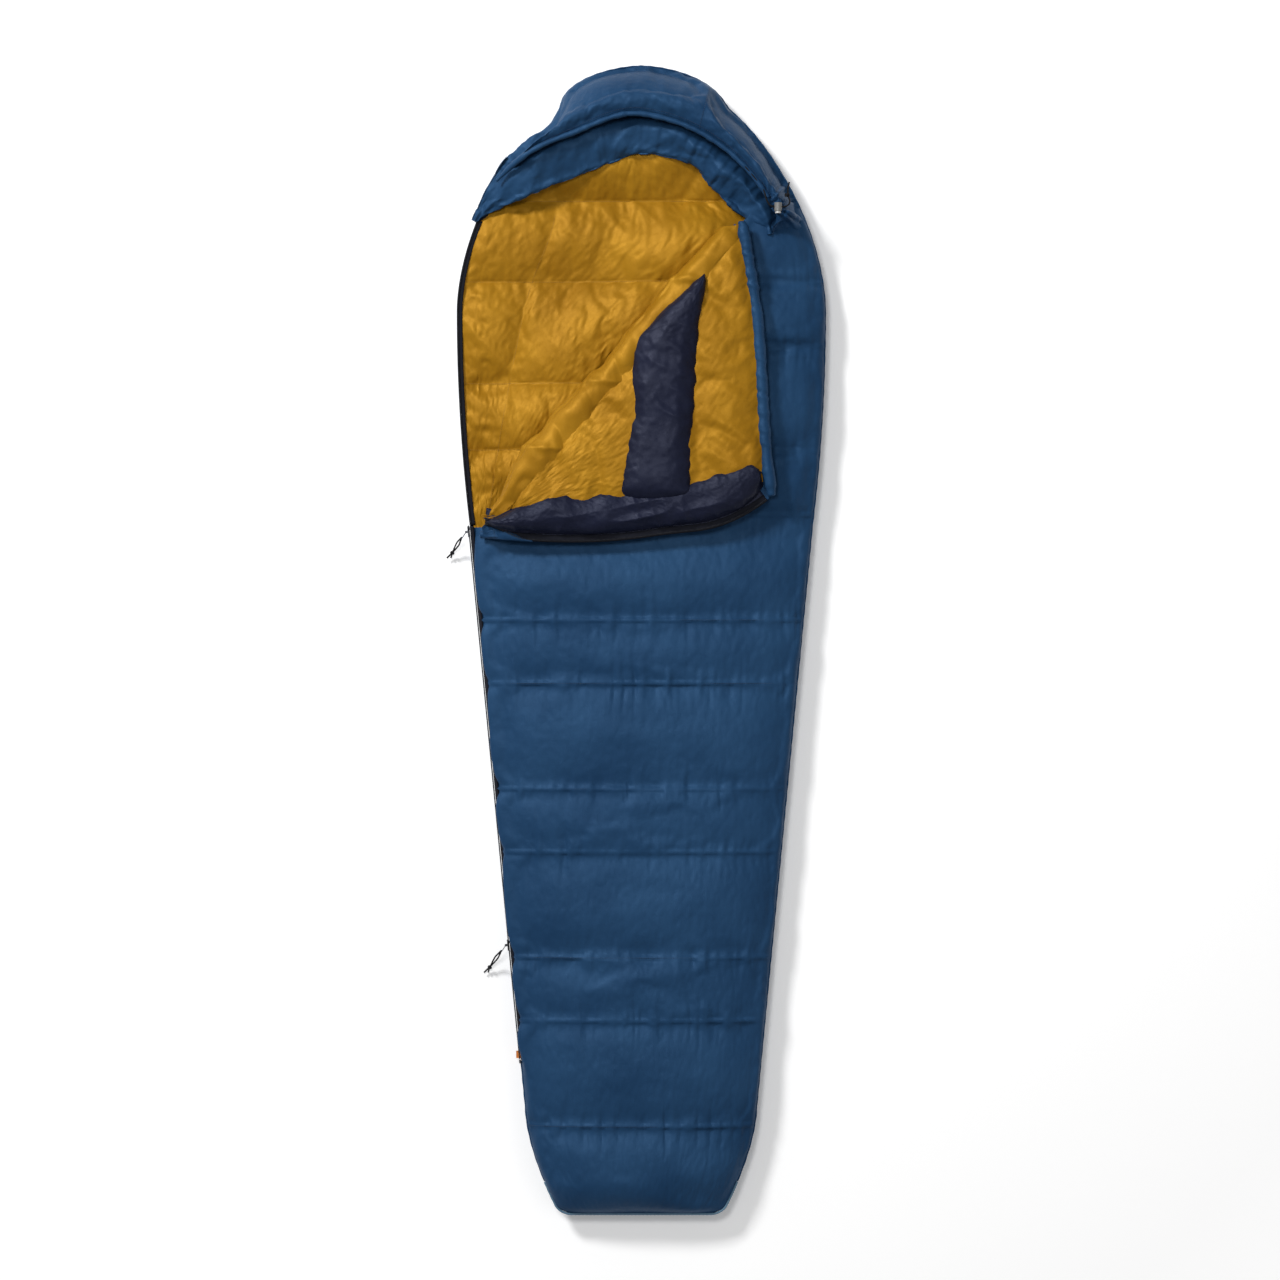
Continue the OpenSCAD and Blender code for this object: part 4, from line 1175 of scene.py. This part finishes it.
# ---------------------------------------------------------------- hood's left wall
# It stands between the back's edge and the muff's outer edge.
wall_top = muff_outer[(muff_outer[:, 0] < 0) & (muff_outer[:, 1] < 0.895)]
count = len(wall_top)
top_x, y = wall_top.T
up = np.linspace(0, 1, 9)
points = span(xyz(-hood_w(y, -1) + 0.0004, y, SIDE_Z - 0.0005),
              xyz(top_x + 0.001, y, muff_z[:count, 0] + 0.003), up)
points[..., 0] -= (0.0045 * np.sin(math.pi * up)
                   * ramp(np.linspace(0, 1, count), 0, 0.3)[:, None])
wall = sheet("hood_side_wall", points, flip=True)
relief(wall, lambda x, y, z, nz: 0.0012 * noise(y * 70, z * 60, 131))
skin(wall, BLUE, "shell", TO_HOOD)

relief(flap_liner, lambda x, y, z, nz: 0.0012 * noise(x * 45 + y * 25, y * 30, 97), floor=0.1042)
skin(flap_liner, GOLD, "liner", "flap", ["flap_liner"])
relief(collar, lambda x, y, z, nz: (0.0016 * crease(x * 14 - y * 9, x * 10 + y * 24, 98)
                                    + 0.0006 * noise(x * 90, y * 90, 88)), floor=0.1050)
skin(collar, NAVY, "navy_fabric", "flap", ["draft_collar_cover", "draft_collar_fill"])
relief(draft_tube, tube_field, floor=0.1038)
skin(draft_tube, NAVY, "navy_fabric", "flap", ["draft_tube_cover", "draft_tube_fill"])

# ================================================================ bridges over the fold
BRIDGE_ROWS = 130
BRIDGE_FROM, BRIDGE_TO = 0.014, 0.985     # shares of the fold's length


def bridge_field(x, y, z, nz):
    d = puckers(x, y, LINER_SEAMS, reach=0.016, amp=0.0028, freq=80, seed=81) * np.abs(nz)
    d -= 0.0034 * bell(seam_distance(y, LINER_SEAMS), 0.007)
    folds = 0.0026 * crease(x * 26 + y * 9, y * 13 - x * 8, 103)
    folds += 0.0026 * noise(x * 24, y * 26, 108) + 0.0012 * noise(x * 60, y * 55, 107)
    tail = ramp(0.1125 - z, 0.0, 0.004) * (z > 0.1045)
    return d + folds * ramp(z, 0.066, 0.084) * (1 - tail)


s = np.linspace(BRIDGE_FROM, BRIDGE_TO, BRIDGE_ROWS)[:, None]
taper = 0.10 + 0.90 * ramp(s, 0.03, 0.18) * (1 - 0.55 * ramp(s, 0.93, 1.0))
close = round_off(np.minimum(s - BRIDGE_FROM, BRIDGE_TO - s), 0.030, 2)
rise = 0.0300 * (0.30 + 0.70 * taper) * close
bulk = (0.0270 + 0.0070 * noise(s * 9, 0, 101) + 0.0030 * noise(s * 30, 2, 102)) * taper * close
centers = FOLD_A + FOLD_D * (s * FOLD_LENGTH)
starting = ramp(s, BRIDGE_FROM, 0.055)
# a half round over the fold, then a tail lying on the corner's lining
turn = np.linspace(-math.pi / 2, math.pi / 2, 26)
depth = bulk * np.cos(turn) ** 0.9
z = 0.0925 + np.where(turn < 0, rise, np.maximum(rise, 0.0160 * starting)) * np.sin(turn)
tail = np.linspace(0, 1, 9)[1:]
reach = np.minimum(0.046, 0.50 * s * FOLD_LENGTH) * (1 - 0.6 * ramp(s, 0.93, BRIDGE_TO))
depth = np.hstack([depth, -reach * tail])
z = np.hstack([z, np.maximum(z[:, -1:] - 0.013 * tail ** 1.6, 0.0932 + 0.0140 * starting)])
points = np.dstack([centers[:, None] - FOLD_N * depth[..., None], z])
points = np.where(depth[..., None] < 0, drape(points), points)
lining_bridge = sheet("fold_lining_bridge", points, flip=True)
relief(lining_bridge, bridge_field)
start = np.array([*FOLD_A, 0.072])
end = start + 0.03653 * np.array([*(0.35 * FOLD_N), 1.0])
skin(lining_bridge, GOLD, "liner",
     ("bag", "flap", tuple(float(v) for v in start), tuple(float(v) for v in end)))

t = np.linspace(0, 1, 12)
offset = 0.0042 - 0.0100 * np.sin(math.pi * t)
points = np.dstack([centers[:, None] + FOLD_N * offset[:, None],
                    np.broadcast_to(0.0885 + 0.0145 * t, (BRIDGE_ROWS, 12))])
shell_bridge = sheet("fold_shell_bridge", points, flip=True)
relief(shell_bridge, lambda x, y, z, nz: 0.0006 * noise(x * 90, y * 90, 104))
skin(shell_bridge, BLUE, "shell", ("bag", "flap", (0, 0, 0.0895), (0, 0, 0.1020)))

# ---------------------------------------------------------------- lining under the top layer
y = rows_between([-0.99] + TOP_SEAMS[-2::-1] + [0.742], 0.016)[:, None]
right = half_w(y) - 0.050
left = np.maximum(np.where(y < OPEN, -right, hinge_x(y) + 0.002), -right)
x = left + (right - left) * np.linspace(0, 1, 40)
top_lining = sheet("top_lining", xyz(x, y, 0.0590 + 0.0012 * noise(x * 30, y * 20, 105)),
                   flip=True)
relief(top_lining, lambda x, y, z, nz: 0.0008 * noise(x * 40, y * 50, 106))
skin(top_lining, GOLD, "liner", "bag", ["top_liner", "footbox_liner"])

# ================================================================ edges, tapes and coils
# ---------------------------------------------------------------- channel on the chest edge
s = np.linspace(0, 1, 110)
x = hinge_x(CHEST) + (-half_w(CHEST) * 0.985 - hinge_x(CHEST)) * s
radius = (0.0118 * (1 + 0.05 * noise(s * 40, 0, 111) + 0.06 * noise(s * 110, 3, 112))
          * (0.6 + 0.4 * ramp(s, 0, 0.05) * (1 - ramp(s, 0.95, 1))))
channel = tube("chest_edge_channel", folded(xyz(x, CHEST + 0.002, 2 * FOLD_Z - 0.1095)),
               radius, sides=18)
relief(channel, lambda x, y, z, nz: 0.0012 * noise(y * 130 + x * 40, z * 60, 113))
skin(channel, BLUE, "shell", "flap", ["chest_edge_binding"])

# ---------------------------------------------------------------- wedge where the zip parts
y = np.linspace(0.2035, 0.300, 40)
width = ((0.023 * (1 - ramp(y, 0.235, 0.298)) + 0.0035)
         * (0.45 + 0.55 * ramp(y, 0.2035, 0.226)))
drop = 0.026 * (1 - ramp(y, 0.2035, 0.248))
upper = np.stack([open_path(y, 0.0005 + width * u,
                            0.1035 + 0.0045 * math.sin(math.pi * u) ** 0.7 - drop)
                  for u in np.linspace(0, 1, 12)], 1)
under = upper[:, ::-1].copy()
under[..., 2] = 0.1005 - drop[:, None]
wedge = loft("zip_corner_wedge", np.concatenate([upper, under], 1))
relief(wedge, lambda x, y, z, nz: 0.0012 * crease(x * 40, y * 30, 114) * clip01(nz))
skin(wedge, BLUE, "shell", ("bag", "flap", (0, 0.2035, 0.1), (0, 0.250, 0.1)))

# ---------------------------------------------------------------- zip on the folded corner
y = np.linspace(0.2115, CHEST - 0.006, 140)
inset = 0.0220 * (1 - ramp(y, 0.212, 0.290))
lift = 0.0030 * (inset / 0.022)
side = unit(open_path(y, 0.02, 0) - open_path(y, 0.0, 0))
strip = ribbon("flap_zip_facing_strip", open_path(y, 0.004 + inset, 0.1040), side, 0, 0.030,
               rows=8)
skin(strip, NAVY, "navy_fabric", "flap", ["flap_zip_facing"])
tape = ribbon("flap_zip_tape", open_path(y, 0.0015 + inset, 0.1054 + lift), side, 0, 0.0140)
skin(tape, TAPE, "zip_tape", "flap", ["zip_tape_flap"])
teeth = coil("flap_zip_coil", open_path(y, 0.0046 + inset, 0.1059 + lift), side, 0.0036, 0.0021)
skin(teeth, COIL, "zip_coil", "flap", ["zip_coil_flap"])

# ---------------------------------------------------------------- zip on the bag's left edge
y = np.linspace(OPEN, 0.780, 150)
edge = xyz(-half_w(y), y, 0.0437)
side = inward(edge)
open_tape = ribbon("back_zip_tape_open", edge, side, 0.0, 0.0105, rows=6)
open_coil = coil("back_zip_coil_open", edge + side * 0.0022 + np.array([0, 0, 0.0005]), side,
                 0.0034, 0.0019)

# closed run: both tapes stand on the side, with the chain between them
CHAIN_Z = 0.047
closed_y = np.linspace(-0.7775, OPEN - 0.002, 260)


def side_x(z, y):
    """x of the bag's left side at a height."""
    z = np.asarray(z, float)
    over = clip01((z - SIDE_Z) / 0.0490)
    under = clip01((SIDE_Z - z) / (SIDE_Z - BOTTOM_Z))
    share = np.where(z > SIDE_Z, (1 - over ** TOP_POWER) ** (1 / TOP_POWER),
                     (1 - under ** BACK_POWER) ** (1 / BACK_POWER))
    return -half_w(y) * share


def side_tape(name, low_z, high_z):
    z = np.linspace(low_z, high_z, 7)
    outside = xyz(side_x(z, closed_y[:, None]) - 0.0004, closed_y[:, None], z)
    inside = outside + np.array([0.0030, 0, 0])
    return loft(name, np.concatenate([outside, inside[:, ::-1]], 1))


def side_chain(name, offset):
    path = xyz(side_x(CHAIN_Z, closed_y) - 0.0016, closed_y, CHAIN_Z) + np.array(offset)
    return coil(name, path, (0, 0, 1), 0.0030, 0.0017, up=(-1, 0, 0))


low_tape = side_tape("zip_tape_lower_side", 0.0345, 0.0462)
high_tape = side_tape("zip_tape_upper_side", 0.0478, 0.0565)
low_chain = side_chain("zip_chain_lower", (0, 0, -0.0009))
high_chain = side_chain("zip_chain_upper", (0, COIL_PITCH / 2, 0.0009))
skin(open_tape, TAPE, "zip_tape", "bag", ["zip_tape_back"])
skin(low_tape, TAPE, "zip_tape", "bag")
skin(high_tape, TAPE, "zip_tape", "bag", ["zip_tape_top"])
skin(open_coil, COIL, "zip_coil", "bag", ["zip_coil_back"])
skin(low_chain, COIL, "zip_coil", "bag")
skin(high_chain, COIL, "zip_coil", "bag", ["zip_coil_top"])

y = np.linspace(0.781, 0.842, 24)
edge = xyz(-half_w(y), y, 0.0405)
hood_tape = ribbon("hood_zip_tape", edge, inward(edge), 0.0, 0.0155, rows=6)
skin(hood_tape, TAPE, "zip_tape", TO_HOOD, ["zip_tape_hood"])

# ---------------------------------------------------------------- welt on the outline seam
# Up the right side, over the crown and down the left, left off along the zip
y = np.concatenate([np.linspace(-1.004, 0.80, 300),
                    0.80 + (CROWN - 0.80) * np.sin(np.linspace(0, math.pi / 2, 90)[1:])])
path = np.vstack([xyz(seam_w(y, 1), y, SIDE_Z), xyz(-seam_w(y, -1), y, SIDE_Z)[::-1][1:]])
keep = (path[:, 0] > 0) | (path[:, 1] > 0.80) | (path[:, 1] < -0.775)
breaks = np.nonzero(~(keep[1:] & keep[:-1]))[0] + 1
welt = join("outline_seam_welt", [
    tube("w%d" % i, run, 0.0014 + 0.0003 * np.sin(np.arange(len(run)) * 1.3), sides=8)
    for i, run in enumerate(np.split(path, breaks)) if len(run) > 4])
skin(welt, BLUE, "shell", TO_HOOD)

# ---------------------------------------------------------------- piping round the foot
y = np.concatenate([np.linspace(-1.005, FOOT, 30)[:-1],
                    FOOT + 0.016 * (1 - np.sin(np.linspace(0, math.pi / 2, 12)))])
y = np.sort(y)[::-1]
path = np.vstack([np.stack([half_w(y), y], -1),
                  np.stack([np.linspace(0.128, -0.128, 60), np.full(60, FOOT)], -1),
                  np.stack([-half_w(y[::-1]), y[::-1]], -1)])
piping = tube("footbox_edge_piping", xyz(*resample(path, 160).T, 0.046), 0.0021)
relief(piping, lambda x, y, z, nz: 0.0002 * np.sin(x * 900 + y * 900), fine=False)
skin(piping, PIPING, "piping", "bag", ["footbox_piping"])

# ---------------------------------------------------------------- ribbon loop on the side seam
LOOP_Z = 0.0244
low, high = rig.box("side_loop_tab")
# x, z of the folded ribbon's middle line
profile = spline([
    (high[0] + 0.004, LOOP_Z + 0.0016), (low[0] + 0.006, LOOP_Z + 0.0022),
    (low[0] + 0.0015, LOOP_Z + 0.0020), (low[0] - 0.0010, LOOP_Z),
    (low[0] + 0.0015, LOOP_Z - 0.0020), (low[0] + 0.006, LOOP_Z - 0.0022),
    (high[0] + 0.004, LOOP_Z - 0.0016)], 24)
tangent = unit(np.gradient(profile, axis=0))
offset = np.stack([-tangent[:, 1], tangent[:, 0]], -1) * 0.0006
loop = np.vstack([profile + offset, (profile - offset)[::-1]])
points = xyz(loop[:, 0], np.linspace(low[1], high[1], 8)[:, None], loop[:, 1])
faces = list(grid_faces(8, 48, wrap=True))
for row, step in ((0, 1), (7, -1)):
    for k in range(23):
        faces.append([row * 48 + i for i in (k, k + 1, 46 - k, 47 - k)][::step])
tab = new_mesh("side_ribbon_loop", points.reshape(-1, 3), faces)
skin(tab, RIBBON, "loop_ribbon", "bag", ["side_loop_tab"])

# ---------------------------------------------------------------- drawcord channel and cord
s = np.linspace(0, 1, 150)
path = lower_left(arc_points(LIP_C, CORD_R, np.linspace(136, 30, 150)))
radius = 0.0052 * (1 + 0.14 * noise(s * 70, 0, 121)) * (0.55 + 0.45 * ramp(s, 0, 0.05))
lip = tube("hood_lip_channel", xyz(*path.T, 0.082 + 0.031 * ramp(s, 0, 0.16)), radius, sides=16)
relief(lip, lambda x, y, z, nz: 0.0005 * noise(x * 120, y * 120, 122))
skin(lip, BLUE, "shell", TO_HOOD, ["drawcord_channel"])

low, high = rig.box("cord_lock_barrel")
lock = (np.array(low) + np.array(high)) / 2
cord_path = np.vstack([xyz(*arc_points(LIP_C, CORD_R, [44, 40, 36, 33]).T, 0.1165), [
    (0.2300, 0.812, 0.1188), (0.2365, 0.8000, 0.1198), (lock[0] - 0.006, 0.7962, lock[2]),
    (lock[0] + 0.006, 0.7962, lock[2]), (0.2690, 0.7985, 0.1200), (0.2735, 0.8060, 0.1195),
    (0.2705, 0.8170, 0.1188), (0.2700, 0.8290, 0.1180), (0.2725, 0.8420, 0.1172)]])
cord = tube("hood_drawcord_run", spline(cord_path, 90), 0.0015, sides=10)
t = np.linspace(0, 2 * math.pi, 12)
knot_path = xyz(0.2685 + 0.0030 * np.cos(t), 0.8180 + 0.0022 * np.sin(2 * t),
                0.1188 + 0.0026 * np.sin(t))
knot = tube("k", spline(knot_path, 40), 0.0018, sides=10)
cord = join("hood_drawcord_run", [cord, knot])
skin(cord, CORD, "cord", "hood", ["hood_drawcord"])


# ---------------------------------------------------------------- corded zip pulls
def pull(name, node, body):
    """A doubled cord from the tab's eye to a knot, with two loose ends."""
    low, high = (np.array(v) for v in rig.box(node))
    eye = np.array([high[0] - 0.0045, high[1] - 0.0020, 0.0470])
    knot = low + np.array([0.30 * (high[0] - low[0]), 0.34 * (high[1] - low[1]), 0.0065])
    along = unit(knot - eye)
    side = unit(np.cross(knot - eye, (0, 0, 1)))
    strands = []

    def strand(path, count, radius=0.0015):
        strands.append(tube("c", spline(path, count), radius, sides=8))

    for s in (-1, 1):
        upper = eye * 0.7 + knot * 0.3 + side * 0.0022 * s + (0, 0, 0.0012)
        middle = (eye + knot) / 2 + side * 0.0026 * s + (0, 0, -0.004)
        strand([eye, upper, middle, knot], 26)
    strand([knot + side * 0.0024 * math.cos(a) + np.array([0, 0, 0.0020]) * math.sin(a)
            + along * 0.0016 * math.sin(2 * a) for a in np.linspace(0, 2 * math.pi, 14)],
           36, 0.0019)
    for s in (-1, 1):
        end = knot + along * (0.016 + 0.003 * s) + side * 0.0032 * s
        end[2] = max(end[2], low[2] + 0.0015)
        strand([knot, knot + along * 0.006 + side * 0.0012 * s, end], 14)
    skin(join(name, strands), CORD, "cord", body, [node])


pull("upper_pull_corded", "upper_pull_cord", "upper_pull")
pull("lower_pull_corded", "lower_pull_cord", "lower_pull")

# ---------------------------------------------------------------- thread
for group, mat, slot, body in (("top_shell_stitching", THREAD, "shell", TO_HOOD),
                               ("liner_stitching", THREAD_GOLD, "liner", TO_HOOD),
                               ("hood_stitching", THREAD, "shell", TO_HOOD),
                               ("flap_shell_stitching", THREAD, "shell", "flap")):
    skin(make_stitches(group), mat, slot, body)

# ---------------------------------------------------------------- hard parts from the frame
for mat, slot, nodes in (
        (METAL, "hardware", ("upper_slider", "lower_slider", "upper_pull_tab", "lower_pull_tab",
                             "zip_bottom_stop", "zip_top_stop")),
        (LOCK, "lock_body", ("cord_lock_barrel",)),
        (BUTTON, "lock_button", ("cord_lock_button",)),
        (STEEL, "spring_steel", ("cord_lock_spring",))):
    for node in nodes:
        part = frame["nodes"][node]
        part.data.materials.clear()
        part.data.materials.append(mat)
        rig.slot(part, slot)

# ================================================================ stage
FLOOR_GLOW_NEAR, FLOOR_GLOW_FAR = 0.15, 0.85      # emission by the bag and far out
WORLD_LIGHT, WORLD_SEEN = 0.22, 0.97              # strength as light and as seen by the camera
CAMERA_Z = 8.0
VIEW_WIDTH, VIEW_Z = 2.37056, 0.06                # width in view at this height
SENSOR = 36

bpy.ops.mesh.primitive_plane_add(size=40, location=(0, 0, -0.001))
floor = bpy.context.object
floor.name = "floor"
floor_mat, tree, bsdf = new_material("floor_white")
floor.data.materials.append(floor_mat)
wire(bsdf, {"Emission Color": (1, 1, 1, 1), "Emission Strength": FLOOR_GLOW_NEAR,
            "Base Color": (0.96, 0.96, 0.96, 1), "Roughness": 0.9})
position = add(tree, "NewGeometry", out="Position")
distance = add(tree, "VectorMath", out="Value", operation="LENGTH", inputs={0: position})
glow = add(tree, "MapRange", {"From Min": 1.5, "From Max": 5.5, "To Min": FLOOR_GLOW_NEAR,
                              "To Max": FLOOR_GLOW_FAR, "Value": distance}, "Result")
wire(bsdf, {"Emission Strength": glow})
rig.stage(floor)

scene = bpy.context.scene
world = bpy.data.worlds.new("world")
scene.world = world
world.use_nodes = True
tree = world.node_tree
background = tree.nodes["Background"]
wire(background, {"Color": (1, 1, 1, 1), "Strength": WORLD_LIGHT})
seen = add(tree, "LightPath", out="Is Camera Ray")
strength = add(tree, "Mix", {"A": WORLD_LIGHT, "B": WORLD_SEEN, "Factor": seen}, "Result",
               data_type="FLOAT")
wire(background, {"Strength": strength})
scene.view_settings.view_transform = "Standard"


def area(name, location, target, size, power):
    """A square white area light aimed at a target."""
    light = bpy.data.lights.new(name, "AREA")
    light.shape = "RECTANGLE"
    light.size = light.size_y = size
    light.energy = power
    light.color = (1, 1, 1)
    obj = bpy.data.objects.new(name, light)
    scene.collection.objects.link(obj)
    obj.location = location
    aim = Vector(target) - Vector(location)
    obj.rotation_euler = aim.to_track_quat("-Z", "Y").to_euler()


area("key", location=(-3.5, 4.0, 4.5), target=(0, 0.0, 0.05), size=1.2, power=380)
area("high", location=(-0.9, 1.3, 6.2), target=(0, 0.0, 0.05), size=1.2, power=120)
area("fill", location=(2.4, -1.2, 3.2), target=(0, 0, 0.05), size=2.4, power=12)

camera = bpy.data.cameras.new("cam")
camera_obj = bpy.data.objects.new("cam", camera)
scene.collection.objects.link(camera_obj)
camera.sensor_width = SENSOR
camera.sensor_fit = "HORIZONTAL"
camera.lens = SENSOR * (CAMERA_Z - VIEW_Z) / VIEW_WIDTH
camera.clip_end = 50
camera_obj.location = (-0.0019, 0.0, CAMERA_Z)
camera_obj.rotation_euler = (0, 0, 0)
scene.camera = camera_obj

VIS_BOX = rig.bounds()


def flat(box):
    return [[float(x) for x in v] for v in box]


try:
    json.dump({"cad": flat(CAD_BOX), "visual": flat(VIS_BOX)}, open("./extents.json", "w"))
except OSError:
    pass
